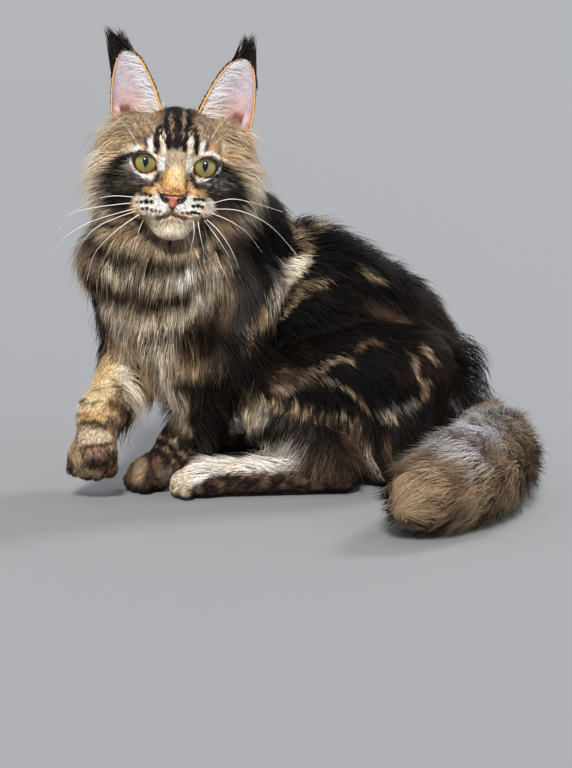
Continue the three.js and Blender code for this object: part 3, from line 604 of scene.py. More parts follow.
FACE_MARKS = (
    # grey patches below the eyes
    (((-139.2, 161.6), (-129.6, 160), (-116.8, 160)), (10.4, 10.4, 5.6), 4, BLACK, 0.92),
    (((-61.6, 155.2), (-51.2, 155.2), (-40, 155.2)), (6.4, 9.6, 9.6), 4, BLACK, 0.92),
    (((-128, 164), (-115.2, 164)), (6.4, 4.8), 4, SOOT, 0.85),
    (((-64, 158.4), (-51.2, 160.8)), (4.8, 6.4), 4, SOOT, 0.85),
    # black lower cheeks
    (((-142.4, 148.8), (-132.8, 146.4), (-124.8, 147.2)), 4.8, 3.2, BLACK, 0.95),
    (((-139.2, 139.2), (-124.8, 138.4)), 4, 2.8, BLACK, 0.9),
    (((-121.6, 137.6), (-116, 128), (-112, 118.4)), 2.8, 2.4, BLACK, 0.85),
    (((-57.6, 142.4), (-43.2, 141.6), (-33.6, 139.2)), 3.6, 2.4, BLACK, 0.92),
    (((-60.8, 133.6), (-48, 132), (-33.6, 136.8)), 3.2, 2.4, BLACK, 0.9),
    (((-63.2, 132.8), (-66.4, 124.8), (-71.2, 117.6)), 3.2, 2.4, BLACK, 0.85),
    # bands from the outer corners of the eyes
    (((-124, 182.4), (-131.2, 179.2), (-137.6, 173.6), (-142.8, 166.4), (-145.6, 157.6), (-146.4, 149.6),
      (-143.2, 144)), (1.9, 4, 5, 5.6, 5.6, 5.6, 4.8), 2.4, BLACK, 1),
    (((-52, 175.2), (-46.4, 171.2), (-41.6, 164.8), (-37.6, 157.6), (-34.4, 150.4), (-32.8, 143.2),
      (-36, 136.8)), (1.6, 4, 5, 5.6, 5.6, 5.2, 4), 2.4, BLACK, 1),
    (((-60.8, 164.4), (-51.2, 167.6)), 1.4, 1.6, BLACK, 0.85),
    (((-120, 170.4), (-112, 164.8)), 1.2, 2.4, BLACK, 0.5),
    # crown and forehead
    (((-86.4, 259.2), (-85.6, 220.8), (-86.4, 208), (-87.2, 196)), (15.2, 14.4, 10.4, 7.2), 2.4, BLACK, 1),
    (((-97.6, 220.8), (-100.8, 209.6)), 0.8, 1.3, BROWN, 0.7),
    (((-73.6, 220.8), (-71.2, 209.6)), 0.8, 1.3, BROWN, 0.7),
    (((-94, 212.8), (-94, 188)), (2.4, 1.4), 1.4, BLACK, 1),
    (((-86.8, 203.2), (-86.4, 192)), (3.2, 2.4), 1.6, BLACK, 1),
    (((-80, 207.2), (-80.8, 188)), (3.2, 1.9), 1.4, BLACK, 1),
    (((-92, 217.6), (-91.2, 206.4), (-90.8, 195.2)), (0.2, 0.6, 0.4), 1, STREAK, 0.85),
    (((-80.8, 222.4), (-81.6, 209.6), (-82.8, 196)), (0.2, 0.6, 0.5), 1, STREAK, 0.9),
    (((-87.2, 206.4), (-87.2, 200)), 0.2, 0.8, UMBER, 0.4),
    (((-99.6, 207.2), (-102.4, 200), (-103.6, 186.4)), (1.2, 2.1, 2), 1.1, BLACK, 1),
    (((-72.8, 204.8), (-71.2, 196.8), (-71.2, 184.4)), (1.2, 1.9, 1.8), 1.1, BLACK, 1),
    (((-112, 196), (-111.2, 189.6)), 1.4, 1.1, SOOT, 0.9),
    (((-62.4, 192.8), (-63.6, 188)), 1.4, 1.2, SOOT, 0.85),
    (((-98, 200), (-98.2, 184.8)), 1.5, 1, CREAM, 0.85),
    (((-75.6, 196), (-76.8, 184.8)), 1.6, 1, CREAM, 0.85),
    (((-108, 196), (-108.4, 186.4), (-104.8, 182.4)), (1.4, 1.3, 0.6), 0.8, WHITE, 0.95),
    (((-65.6, 193.6), (-68, 184.4)), 1.3, 0.8, WHITE, 0.95),
    (((-122.4, 188.8), (-118.4, 190)), 2.1, 1.4, WHITE, 0.7),
    (((-65.6, 183.6), (-60, 185), (-54.8, 182)), (0.6, 1, 1.5), 1, WHITE, 0.9),
    # bridge of the nose
    (((-88.8, 161.6), (-89.6, 156)), (8.8, 8), 4, ORANGE, 0.85),
    # pale gold at the top of the bridge, partly painted highlight
    (((-87.2, 168.8), (-86.4, 164)), 4, 4.8, HONEY, 0.7),
    (((-100.8, 162.4), (-100.4, 156.8)), 0.8, 1.6, BROWN, 0.6),
    (((-78.4, 162.4), (-79.2, 156.8)), 0.8, 1.6, BROWN, 0.6),
    (((-96.8, 154.8), (-84.8, 154.8)), 0.8, 1.3, BROWN, 0.75),
    # whisker pads and chin
    (((-111.2, 155.2), (-104, 156)), 2.4, 2.4, GOLD, 0.8),
    (((-74.4, 153.6), (-66.4, 151.2)), 2.4, 2.4, GOLD, 0.75),
    (((-115.2, 144.8), (-107.2, 144), (-100.8, 142.4)), (6.8, 7.2, 5.6), 2, WHITE, 0.97),
    (((-81.6, 142.4), (-73.6, 142.4), (-64.8, 141.6)), (5.6, 7.6, 6.8), 2, WHITE, 0.95),
    (((-118.4, 152), (-107.2, 151.2)), 1, 1.6, TAN, 0.6),
    (((-121.6, 146), (-106.4, 145.6)), 0.8, 1.4, GOLD, 0.55),
    (((-116.8, 140), (-100, 138)), 0.8, 1.4, TAN, 0.55),
    (((-121.6, 142.4), (-118.4, 136)), 2, 2.4, GOLD, 0.6),
    (((-73.6, 148.8), (-64, 147.2)), 1.1, 1.6, GOLD, 0.65),
    (((-75.2, 142.4), (-64.8, 141.2)), 1, 1.4, TAN, 0.55),
    (((-84, 136.8), (-67.2, 136.4)), 0.8, 1.4, TAN, 0.55),
    (((-62.4, 142.4), (-64.8, 136)), 1.6, 2.4, GOLD, 0.6),
    (((-100.8, 124), (-80.8, 124)), 7.2, 2.8, CREAM, 0.8),
    (((-99.2, 129.6), (-84.8, 129.6)), 1, 2, TAN, 0.6),
    # pale edges of the cheeks
    (((-21.6, 166.4), (-20, 148.8), (-24, 134.4), (-33.6, 123.2)), 3.6, 2.8, CREAM, 0.9),
    (((-153.6, 182.4), (-158.4, 169.6), (-159.2, 153.6), (-154.4, 140.8), (-145.6, 131.2)), 3.6, 2.8, CREAM,
      0.75),
    # white round the eyes and the tear lines
    (((-99.4, 179.2), (-99.7, 172)), 1.9, 1.2, WHITE, 0.95),
    (((-77.4, 178.4), (-77.4, 171.2)), 2, 1.2, WHITE, 0.95),
    (((-123.6, 179.2), (-122.8, 174.4), (-119.2, 170), (-113.6, 166.8), (-107.6, 165.6)), 1.6, 1.1, WHITE,
      0.95),
    (((-53.6, 175.2), (-55.2, 170.4), (-60, 166.8), (-65.6, 164), (-70.4, 163.6)), 1.5, 1.1, WHITE, 0.95),
    (((-101.8, 168.8), (-103.6, 164.4), (-107.2, 159.2)), (1.3, 1.6, 1.1), 1.1, BLACK, 0.97),
    (((-76.2, 167.6), (-74, 162.4), (-70.8, 157.2)), (1.1, 1.6, 1), 1.1, BLACK, 0.97),
    # wings of the nose, philtrum and mouth
    (((-102.8, 154.8), (-100, 151.2), (-96.4, 148.4), (-93.2, 145.2), (-91.5, 141.6)), 0.6, 0.9, BLACK,
      0.9),
    (((-78.4, 153.6), (-81.2, 150.4), (-84.8, 147.6), (-88.4, 144.4), (-91.2, 140.8)), 0.6, 0.9, BLACK,
      0.9),
    (((-91.5, 142.4), (-91.6, 136.8)), 0.4, 1, UMBER, 0.8),
    (((-104, 131.6), (-96.8, 133.6), (-91.6, 136), (-86.4, 133.6), (-79.2, 131.2)), 0.7, 1.3, UMBER, 0.9),
)  # fmt: skip
# the streaks of grey in the black below the eyes
GREY_LINES = (((-132.8, 164), (-113.6, 164.8)), ((-64, 157.6), (-49.6, 160.8)))
# the dark spots of the whisker pads: middle and radius
WHISKER_SPOTS = (
    ((-116, 151.6), 0.9), ((-112.2, 152), 1.2), ((-108.6, 151), 1), ((-119.2, 145.6), 0.6),
    ((-115.7, 145.6), 0.9), ((-111.7, 145.8), 1.4), ((-107.8, 145.6), 1.1), ((-114.8, 140), 1),
    ((-111.2, 140.4), 1), ((-107.8, 139.2), 1), ((-104.2, 138.2), 0.6), ((-100.8, 137.9), 0.6),
    ((-72.8, 147.6), 1.1), ((-69.4, 148), 1.1), ((-65.9, 147.2), 1.2), ((-70, 150.6), 0.6),
    ((-74, 142.2), 1), ((-70.1, 142.4), 1.3), ((-66.9, 141.4), 1), ((-82.6, 136.8), 0.7),
    ((-79, 136.6), 0.9), ((-75.5, 136.8), 0.9), ((-72.4, 137.1), 1.1), ((-69.4, 136.2), 0.9),
)  # fmt: skip


def head_tint(p, u, v):
    """Ticked buff with the tabby's mask; the back of the head is dark."""
    q = to_head(p)
    x, y, z = q.T
    wobble, fine = waves(p, 11, 3), waves(p, 3.0, 4)
    locks = waves(p * (1, 1, 1.6), 5, 5)
    colour = paint(SAND, BUFF, 0.35 + 0.4 * wobble + 0.25 * fine)
    colour = paint(colour, GOLD, 0.5 * step(-0.2, 0.8, waves(p, 17, 11)))
    brow = step(187.2, 196.8, v) * step(64, 32, np.abs(u - -87.2))
    colour = paint(colour, UMBER, brow * (0.42 + 0.5 * step(-0.3, 0.6, locks)))
    outer = step(40, 52, np.abs(x))
    colour = paint(colour, BUFF, 0.6 * outer * step(-0.5, 0.7, wobble + 0.5 * fine))
    colour = paint(colour, UMBER, 0.5 * outer * step(0.2, 0.9, locks))
    colour = paint(colour, AGOUTI, spot(u, v, (-88, 180.8), 11.2, 12.8, 0.6) * (0.8 + 0.2 * fine))
    crown = step(187.2, 196.8, v) * waves(p * (1, 1, 0.4), 3.2, 12)
    marked = draw(colour, u + 0.4 * fine + 1.5 * crown, v + 0.6 * waves(p, 3.4, 6) + 0.6 * locks, FACE_MARKS)
    streak = step(0.1, 0.9, waves(p * (0.6, 1, 1.5), 3.6, 9))
    grey = sum(stripe(u, v, line, 6.4, 4) for line in GREY_LINES)
    marked = paint(marked, GREY, 0.85 * streak * grey * (marked.mean(1) < 0.12))
    face = step(84, 66, y)
    colour = paint(colour, marked, face)
    for middle, radius in WHISKER_SPOTS:
        colour = paint(colour, BLACK, 1.2 * face * spot(u, v, middle, radius + 0.3, radius + 0.3, 0.45))
    nape = step(48, 60, y) * bump(np.abs(x), 0, 40, 10) * step(-40, -20, z)
    return paint(colour, paint(BLACK, UMBER, 0.35 + 0.3 * wobble), nape)


FRONT_MARKS = (
    # painted shadow under the chin
    (((-120, 129.6), (-111.2, 115.2), (-92.8, 108.8), (-74.4, 114.4), (-63.2, 127.2)), 2.4, 3.2, BLACK,
      0.8),
    (((-155.2, 126.4), (-140.8, 112.8), (-116.8, 106.4), (-92.8, 104), (-68.8, 108.8), (-51.2, 118.4)), 4,
      4, SAND, 0.9),
    (((-152, 124.8), (-139.2, 111.2), (-116.8, 104.8), (-92.8, 102.4), (-68.8, 107.2), (-52.8, 116)), 0.8,
      4, BUFF, 0.6),
    (((-163.2, 116.8), (-148.8, 104), (-132.8, 96.8), (-112.8, 92.4), (-90.4, 90.4), (-70.4, 96),
      (-52.8, 105.6), (-38.4, 115.2)), (3.2, 4.8, 5.2, 4.8, 4.4, 4.8, 5.2, 5.6), 2.4, INK, 1),
    (((-160, 97.6), (-144.8, 87.2), (-124.8, 80), (-100.8, 77.6), (-80, 81.6), (-60.8, 90.4), (-44.8, 100)),
      2.8, 4, SAND, 0.9),
    (((-155.2, 94.4), (-140.8, 84), (-120.8, 77.6), (-100.8, 75.2), (-84.8, 77.6), (-72, 84)), 0.8, 3.6,
      CREAM, 0.75),
    (((-163.2, 84.8), (-151.2, 75.2), (-134.4, 67.2), (-112.8, 62.4), (-92.8, 60.8), (-74.4, 66.4),
      (-58.4, 76.8), (-43.2, 90.4), (-30.4, 102.4)), (2, 4, 5.2, 6, 6, 5.6, 5.6, 5.6, 6.4), 2.4, INK, 1),
    (((-172.8, 91.2), (-167.2, 75.2), (-151.2, 62.4), (-135.2, 52.8), (-115.2, 47.2), (-96.8, 46.4),
      (-76.8, 55.2), (-60.8, 66.4), (-48, 79.2)), (3.2, 4, 4, 4, 4.4, 4.4, 3.6, 2.8, 1.6), 3.2, SAND, 0.95),
    (((-148.8, 59.2), (-134.4, 50.4), (-114.4, 44.8), (-96.8, 44), (-78.4, 52), (-62.4, 63.2)), 1, 4, CREAM,
      0.7),
    (((-112, 34.4), (-96.8, 36.8), (-88, 32.8), (-59.2, 30.4)), (1.6, 3.6, 4, 3.2), 2.4, INK, 0.95),
    (((-84.8, 22.4), (-68.8, 25.6), (-54.4, 27.2)), 1.6, 3.2, BROWN, 0.7),
    (((-80, 8.8), (-51.2, 14.4)), 2.4, 4, TAN, 0.75),
    (((-83.2, -4), (-54.4, -7.2)), 5.6, 4, INK, 0.9),
    (((-156.8, 49.6), (-146.4, 27.2), (-134.4, 6.4)), (8.8, 8.8, 7.2), 4.8, INK, 0.97),
    (((-150.4, 97.6), (-158.4, 86.4)), 1.2, 3.2, UMBER, 0.6),
    (((-40, 94.4), (-48, 86.4), (-59.2, 75.2), (-72, 67.2)), (0.8, 1.6, 2, 1.6), 2.8, CREAM, 0.6),
    (((-56, 97.6), (-64.8, 91.2)), 1.2, 3.2, CREAM, 0.7),
    (((-72, 85.6), (-88, 79.2)), 1.6, 3.2, WHITE, 0.8),
    (((-51.2, 67.2), (-64, 43.2), (-57.6, 19.2)), (1.6, 4.8, 6.4), 6.4, INK, 0.8),
)  # fmt: skip
COLUMN = ((-131.2, 46.4), (-110.4, 25.6), (-95.2, -1.6), (-88, -35.2))
COLUMN_WIDTHS = (19.2, 19.2, 10.4, 7.2)


def front_tint(p, u, v):
    """The necklaces of the ruff and bib, and the pale column below them; dark behind the shoulder."""
    wobble, fine = waves(p, 20, 7), waves(p, 6, 8)
    locks = waves(p * (1, 1, 0.35), 6, 10)
    su, sv = u + 1.2 * fine, v + 1.2 * wobble + 1.6 * locks
    colour = paint(BROWN, SAND, 0.35 + 0.4 * wobble + 0.3 * fine)
    low = step(52.8, 43.2, v + 2 * locks)
    column = stripe(u + 3 * wobble + 2 * locks, v, COLUMN, COLUMN_WIDTHS, 5.6)
    under = paint(INK, UMBER, 0.3 + 0.3 * fine)
    pale = paint(SAND, CREAM, 0.35 + 0.6 * waves(p * (1, 1, 0.3), 7, 9))
    pale = paint(pale, UMBER, 0.8 * step(0.1, 0.9, locks))
    colour = paint(colour, paint(under, pale, column), low)
    colour = draw(colour, su, sv, FRONT_MARKS)
    # random locks darkened to 0.3: painted shade between the locks of the bib
    colour = colour * lerp(1, 0.3, step(-0.2, 0.7, waves(p * (1, 1, 0.5), 4.5, 44)))[:, None]
    back = np.maximum(step(-44.8, -32, u + 0.15 * (99.2 - v) + 2 * fine), step(-34, -14, p[:, 1]))
    return paint(colour, body_tint(p, u, v), back)


# the pale lines of the shoulder, where the coat parts
SHOULDER_LINES = (
    ((18.4, 105.6), (12.8, 97.6), (6.4, 89.6), (0.8, 80.8), (-4, 72), (-12, 58.4), (-22.4, 43.2), (-36, 25.6)),
    ((37.6, 82.4), (22.4, 76), (6.4, 63.2), (-10.4, 47.2), (-27.2, 31.2)),
)
BODY_MARKS = (
    # painted sheen on the shoulder, then brown patches and arcs of the haunch and rump
    (((-40, 97.6), (-29.6, 67.2), (-33.6, 36.8)), (6.4, 9.6, 6.4), 8, SOOT, 0.55),
    (((-14.4, 8), (1.6, 4.8), (20.8, 3.2)), 4, 5.6, UMBER, 0.5),
    (((-11.2, 9.6), (0, 11.2)), 1, 2.4, BROWN, 0.6),
    (((-8, -4.8), (3.2, -6.4), (14.4, 0.8)), 0.8, 1.6, SAND, 0.7),
    (((9.6, 3.2), (19.2, 6.4)), 1, 2, BROWN, 0.7),
    (((68.8, 59.2), (92.8, 51.2)), 1.6, 4.8, UMBER, 0.45),
    (((25.6, 8.8), (35.2, 16.8), (46.4, 20), (56, 18.4)), (0.4, 0.9, 0.9, 0.4), 1.4, SAND, 0.75),
    (((57.6, 28), (65.6, 32.8), (76.8, 32)), 0.4, 1.6, BROWN, 0.8),
    (((28.8, 2.4), (43.2, -1.6), (57.6, -11.2), (65.6, -22.4)), 0.2, 1.1, SAND, 0.75),
    # pale arcs and tufts
    (((64, 88.8), (70.4, 84), (78.4, 82.4)), 0.5, 2.1, TAN, 0.85),
    (((91.2, 52), (99.2, 49.6)), 0.4, 1.6, BROWN, 0.8),
    (((110.4, 30.4), (115.2, 24), (122.4, 16)), 0.5, 1.8, SAND, 0.8),
    (((103.2, 20.8), (104.8, 9.6), (110.4, 0)), 0.5, 1.9, TAN, 0.75),
    (((115.2, 0), (110.4, -11.2), (102.4, -19.2)), 0.4, 1.8, SAND, 0.6),
    (((32, -25.6), (47.2, -29.6), (60.8, -36.8)), 0.6, 2.4, BUFF, 0.8),
    (((76.8, -25.6), (91.2, -24), (102.4, -19.2)), 1.8, 4, GREY, 0.9),
    (((80, -28.8), (89.6, -28.8)), 0.8, 3.2, BUFF, 0.7),
    (((3.2, 136), (8.8, 126.4), (16, 113.6)), (0.5, 1, 0.5), 2, SAND, 0.7),
    (((28.8, 140), (30.4, 132.8), (28, 123.2)), (0.5, 1.3, 0.5), 2, BUFF, 0.85),
    # the shoulder stripe
    (SHOULDER_LINES[0], (2, 6, 4.4, 1.6, 1, 0.8, 0.7, 0.6), 1.4, TAN, 1),
    (((12, 97.6), (5.6, 89.6), (0, 80.8), (-5.6, 70.4), (-13.6, 56.8)), (4.8, 3.6, 1, 0.5, 0.3), 1.9, CREAM,
      0.95),
    (SHOULDER_LINES[1], (0.2, 0.3, 0.3, 0.3, 0.2), 1, TAN, 0.8),
    (((11.2, 121.6), (17.6, 113.6), (18.4, 107.2)), (0.4, 0.8, 1.6), 1.6, TAN, 0.9),
    (((17.6, 80.8), (6.4, 67.2)), 0.3, 1.3, TAN, 0.6),
)  # fmt: skip
HEM_MARKS = (
    (((-36.8, -20.8), (-24, -16), (-4.8, -20.8), (14.4, -25.6), (35.2, -32)), (2.4, 3.2, 1.6, 0.8, 0.4),
      3.2, TAN, 0.85),
    (((-40, -44.8), (-30.4, -30.4), (-20.8, -28.8)), (4.8, 7.2, 4), 4.8, CREAM, 0.95),
    (((-43.2, -43.2), (-33.6, -32)), 2.4, 4.8, HONEY, 0.7),
    (((-24, -28.8), (-28.8, -43.2)), 1.2, 3.2, TAN, 0.6),
    (((-8, -33.6), (6.4, -36.8), (20.8, -43.2)), 1.2, 4, GREY, 0.3),
    (((-11.2, -51.2), (4.8, -49.6), (20.8, -54.4)), 4, 4.8, INK, 0.75),
    (((46.4, -41.6), (54.4, -51.2), (64, -62.4), (72, -75.2)), (0.8, 3.2, 4, 3.2), 4, BROWN, 0.9),
    (((57.6, -52.8), (64.8, -62.4), (73.6, -75.2)), (0.8, 1.6, 1.6), 2.4, CREAM, 0.95),
    (((80, -54.4), (84.8, -67.2)), 2.4, 4, BROWN, 0.75),
    (((25.6, -65.6), (33.6, -75.2)), 1.6, 4, SAND, 0.75),
)  # fmt: skip


def body_tint(p, u, v):
    """Black-brown back, flank and haunch with the classic pattern's pale arcs."""
    wobble, fine = waves(p, 24, 13), waves(p, 5, 14)
    su, sv = u + 1.5 * fine + 1.2 * wobble, v + 1.8 * waves(p, 7, 15)
    colour = paint(INK * 0.45, BLACK, 0.2 + 0.35 * fine + 0.15 * wobble)
    # a warm brown towards the rump's right edge: painted rim light
    edge = step(91.2, 155.2, u) * step(-68.8, 43.2, v)
    brown = step(0.2, 1.0, waves(p, 19, 16)) * step(107.2, 43.2, v)
    colour = paint(colour, UMBER, 0.25 * edge + 0.12 * brown)
    return draw(colour, su, sv, BODY_MARKS)


def haunch_tint(p, u, v):
    colour = body_tint(p, u, v)
    locks = waves(p * (1, 1, 0.3), 5, 21)
    hem = draw(colour, u + 2 * locks, v + 3.5 * locks + 1.5 * waves(p, 9, 22), HEM_MARKS)
    gaps = np.maximum(step(0.0, 0.5, locks), step(0.0, 0.6, waves(p * (1.2, 1, 0.25), 3.2, 26)))
    gaps = gaps * lerp(0.6, 1, step(-28.8, -8.8, u))
    hem = paint(hem, BLACK, 0.95 * gaps * step(-11.2, -20.8, v))
    return paint(colour, hem, step(-54.4, -43.2, u + 2 * locks))


def foot_tint(p, u, v):
    x, y, z = p.T
    fine = waves(p, 4, 23)
    colour = paint(BLACK, UMBER, 0.35 + 0.4 * fine)
    colour = paint(colour, BROWN, 0.6 * step(0.3, 0.9, waves(p, 9, 24)))
    top = step(18, 23, z + 1.6 * fine + 9 * step(-55, -75, x)) * step(38, 31, z) * step(13, -4, x + 6 * fine)
    colour = paint(colour, paint(CREAM, WHITE, 0.6), 0.97 * top)
    colour = paint(colour, TAN, 0.6 * top * step(0.0, 0.9, waves(p, 9, 34)))
    colour = paint(colour, UMBER, 0.6 * top * step(0.2, 0.8, waves(p * (0.5, 1, 1), 4, 25)) * step(-45, 0, x))
    colour = paint(colour, BUFF, 0.9 * step(-70, -78, x) * step(0.7, -0.2, fine))
    # darker near the floor: painted shade under the foot
    return paint(colour, BLACK, 0.7 * step(7, 3, z))


PAW_MARKS = (
    (((-116, -64), (-119.2, -75.2)), 3.2, 4, TAN, 0.6),
    (((-104, -63.2), (-100.8, -71.2)), 2, 3.2, BROWN, 0.7),
    (((-125.6, -68.8), (-126.4, -76.8)), 1.6, 2.4, BROWN, 0.6),
)


def fore_left_tint(p, u, v):
    fine, wobble = waves(p, 4, 27), waves(p, 14, 28)
    colour = front_tint(p, u, v)
    share, _ = along(FORE_LEFT_LINE, p, 16)
    bars = bump(np.mod(share * 165 + 3 * wobble + 1.5 * fine, 15), 7, 3.4, 2.4)
    leg = paint(paint(UMBER, TAN, 0.3 + 0.4 * fine), INK, 0.95 * bars)
    leg = paint(leg, BLACK, 0.8 * step(0.4, -0.4, waves(p, 6, 30)))
    paw = draw(paint(BLACK, UMBER, 0.5 + 0.4 * fine), u, v, PAW_MARKS)
    leg = paint(leg, paw, step(0.84, 0.92, share))
    colour = paint(colour, leg, step(0.56, 0.7, share))
    # darker at the paw's end near the floor: painted shade under the paw
    return paint(colour, INK, 0.6 * step(0.93, 0.99, share) * step(8, 3, p[:, 2]))


RAISED_MARKS = (
    (((-161.6, -22.4), (-140.8, -20)), 6.4, 4.8, GOLD, 0.6),
    # the golden top of the raised leg: golden fur made brighter as painted light
    (((-142.4, 11.2), (-149.6, 2.4), (-155.2, -8.8)), (10.4, 12, 9.6), 5.6, HONEY, 1),
    (((-147.2, 14.4), (-153.6, 4.8)), 4.8, 6.4, GOLD, 0.45),
    # the pale fringe at the leg's left edge: pale hair with painted light through it
    (((-164.8, 8), (-169.6, -9.6), (-171.2, -36.8)), (3.2, 4, 1.6), 4, WHITE, 0.6),
    (((-131.2, 14.4), (-123.2, -3.2), (-120, -19.2)), (3.2, 5.6, 6.4), 3.2, CREAM, 0.9),
    (((-138.4, 0), (-129.6, -4)), 1.4, 2.4, UMBER, 0.85),
    (((-155.2, -5.6), (-145.6, -4)), 0.3, 1.6, BROWN, 0.7),
    (((-166.4, -12.8), (-158.4, -16), (-147.2, -15.2)), (0.8, 1.2, 0.4), 2.4, BLACK, 0.8),
    (((-139.2, -16), (-129.6, -22.4)), 2.4, 3.2, BLACK, 0.75),
    (((-145.6, -21.6), (-139.2, -24.8)), 2, 3.2, TAN, 0.8),
    (((-169.6, -25.6), (-158.4, -24)), 0.6, 2.4, BROWN, 0.8),
    (((-163.2, -31.2), (-153.6, -30.4), (-144, -34.4)), (1.1, 1.6, 0.8), 2.4, BLACK, 0.85),
    (((-140.8, -30.4), (-133.6, -36.8)), 2.4, 3.2, UMBER, 0.85),
    (((-160.8, -42.4), (-152.8, -40.8), (-144.8, -43.2)), 3.6, 3.2, BUFF, 0.85),
    (((-171.2, -46.4), (-168, -36.8)), 1.6, 3.2, SAND, 0.6),
    (((-158.4, -49.6), (-149.6, -50.4), (-139.2, -47.2)), 1.1, 2, BLACK, 0.85),
    (((-157.6, -57.6), (-148, -54.4)), 2, 3.6, MAUVE, 0.6),
    (((-170.4, -54.4), (-166.4, -64)), 2.4, 3.2, TAN, 0.65),
    (((-160.8, -64.8), (-142.4, -64)), 1.3, 2.4, INK, 0.8),
    (((-166.4, -71.2), (-152, -72.8)), 1.6, 3.2, SAND, 0.45),
)


def fore_right_tint(p, u, v):
    fine = waves(p, 4, 31)
    share, _ = along(FORE_RIGHT_LINE, p, 16)
    upper = paint(INK, BLACK, 0.5 + 0.4 * fine)
    lower = paint(BROWN, TAN, 0.4 + 0.5 * fine)
    paw = paint(BLACK, UMBER, 0.5 + 0.4 * fine)
    paw = paint(paw, BROWN, 0.5 * step(0.0, 0.9, waves(p, 5, 33)))
    lower = paint(lower, paw, step(-48, -56, v + 1.5 * fine))
    lower = draw(lower, u + 1.2 * fine, v + 1.6 * waves(p, 9, 32), RAISED_MARKS)
    return paint(upper, lower, step(0.44, 0.52, share + 0.02 * fine))


TAIL_LENGTH = 420  # by which hair past the tail's end is measured
# the side of the tail that the light falls on, where the pale bands are painted
TAIL_LIT_SIDE = unit(np.array([-0.7, -0.35, 0.62]))
# the middle and half width of each pale band, in shares of the tail
TAIL_BANDS = ((0.27, 0.04), (0.45, 0.04), (0.61, 0.035), (0.76, 0.035), (0.91, 0.03))


def tail_tint(p, u, v):
    """Brown, with dark rings and pale bands; the bluish pale bands are painted only on the lit side, towards the
    chest and up, so they are partly painted light.
    """
    share, _ = along(TAIL_LINE, p, 24)
    end, before = np.array(TAIL_LINE[-1]), np.array(TAIL_LINE[-2])
    past = np.maximum((p - end) @ unit(end - before), 0) / TAIL_LENGTH
    fine, wobble = waves(p, 5, 37), waves(p, 22, 38)
    outward = unit(p - curve(TAIL_LINE, share))
    lit = step(-0.05, 0.5, outward @ TAIL_LIT_SIDE + 0.25 * wobble)
    colour = paint(BROWN, SAND, 0.85 + 0.35 * fine + 0.3 * wobble)
    colour = paint(colour, TAN, 0.4)
    colour = paint(colour, UMBER, 0.6 * step(0.2, 1.0, waves(p, 13, 39)))
    s = share + past + 0.012 * wobble + 0.005 * fine
    for middle, half in TAIL_BANDS:
        # pale bluish fur with painted light, on the lit side only
        colour = paint(colour, ICE, 0.97 * lit * bump(s, middle, half * 0.75, half * 0.5))
        colour = paint(colour, UMBER, 0.7 * bump(s, middle + 0.075, 0.015, 0.02))
    return paint(colour, body_tint(p, u, v), step(0.24, 0.16, s))


TINTS = {
    "head": head_tint,
    "neck": front_tint,
    "chest": front_tint,
    "torso": body_tint,
    "fore_left": fore_left_tint,
    "fore_right": fore_right_tint,
    "thigh_left": haunch_tint,
    "thigh_right": lambda p, u, v: haunch_tint(mirrored(p), *seen(mirrored(p))),
    "foot_left": foot_tint,
    "foot_right": lambda p, u, v: foot_tint(mirrored(p), *seen(mirrored(p))),
    "tail": tail_tint,
}
TINT_SOFT = 3.5  # how far one region's markings run into the next
TINT_DEPTH = 2  # regions count alike from this depth
TINT_LEAST = 0.04  # the least share of a region's markings that is mixed in


def distances(p):
    return np.stack([region_near(name, p) for name in NAMES], 1)


def coat_tint(p):
    """The coat's colour at points on or over the skin."""
    near = np.maximum(distances(p), -TINT_DEPTH)
    weight = np.exp(-(near - near.min(1, keepdims=True)) / TINT_SOFT)
    weight[weight < TINT_LEAST] = 0
    weight /= weight.sum(1, keepdims=True)
    u, v = seen(p)
    colour = np.zeros((len(p), 3))
    for i, name in enumerate(NAMES):
        some = weight[:, i] > 0
        if some.any():
            colour[some] += weight[some, i, None] * TINTS[name](p[some], u[some], v[some])
    return np.clip(colour, 0, 1)


# Meshes and materials


def socket(node, name, value):
    node.inputs[name].default_value = value


NOISE_RANGE = (0.3, 0.7)  # what the noise texture spans


def new_material(name, roughness, bump_size, bump_depth, tint_noise, noise_size, **extra):
    """A material that takes its colour from a piece's tint, varied and roughened by noise."""
    material = bpy.data.materials.new(name)
    material.use_nodes = True
    nodes, link = material.node_tree.nodes, material.node_tree.links.new
    shader = nodes["Principled BSDF"]
    socket(shader, "Roughness", roughness)
    for key, value in extra.items():
        socket(shader, key.replace("_", " "), value)
    tint = nodes.new("ShaderNodeAttribute")
    tint.attribute_name = "tint"
    place_node = nodes.new("ShaderNodeTexCoord")
    noise = nodes.new("ShaderNodeTexNoise")
    socket(noise, "Scale", 1000 / noise_size)
    socket(noise, "Detail", 3)
    link(place_node.outputs["Object"], noise.inputs["Vector"])
    ramp = nodes.new("ShaderNodeMapRange")
    ends = (*NOISE_RANGE, 1 - tint_noise, 1 + tint_noise)
    for key, value in zip(("From Min", "From Max", "To Min", "To Max"), ends):
        socket(ramp, key, value)
    link(noise.outputs["Fac"], ramp.inputs["Value"])
    shade = nodes.new("ShaderNodeVectorMath")
    shade.operation = "SCALE"
    link(tint.outputs["Color"], shade.inputs[0])
    link(ramp.outputs["Result"], shade.inputs["Scale"])
    link(shade.outputs["Vector"], shader.inputs["Base Color"])
    if bump_depth:
        rough = nodes.new("ShaderNodeTexNoise")
        socket(rough, "Scale", 1000 / bump_size)
        socket(rough, "Detail", 4)
        link(place_node.outputs["Object"], rough.inputs["Vector"])
        height = nodes.new("ShaderNodeBump")
        socket(height, "Distance", bump_depth / 1000)
        link(rough.outputs["Fac"], height.inputs["Height"])
        link(height.outputs["Normal"], shader.inputs["Normal"])
    return material


def new_object(name, data):
    made = bpy.data.objects.new(name, data)
    bpy.context.scene.collection.objects.link(made)
    return made


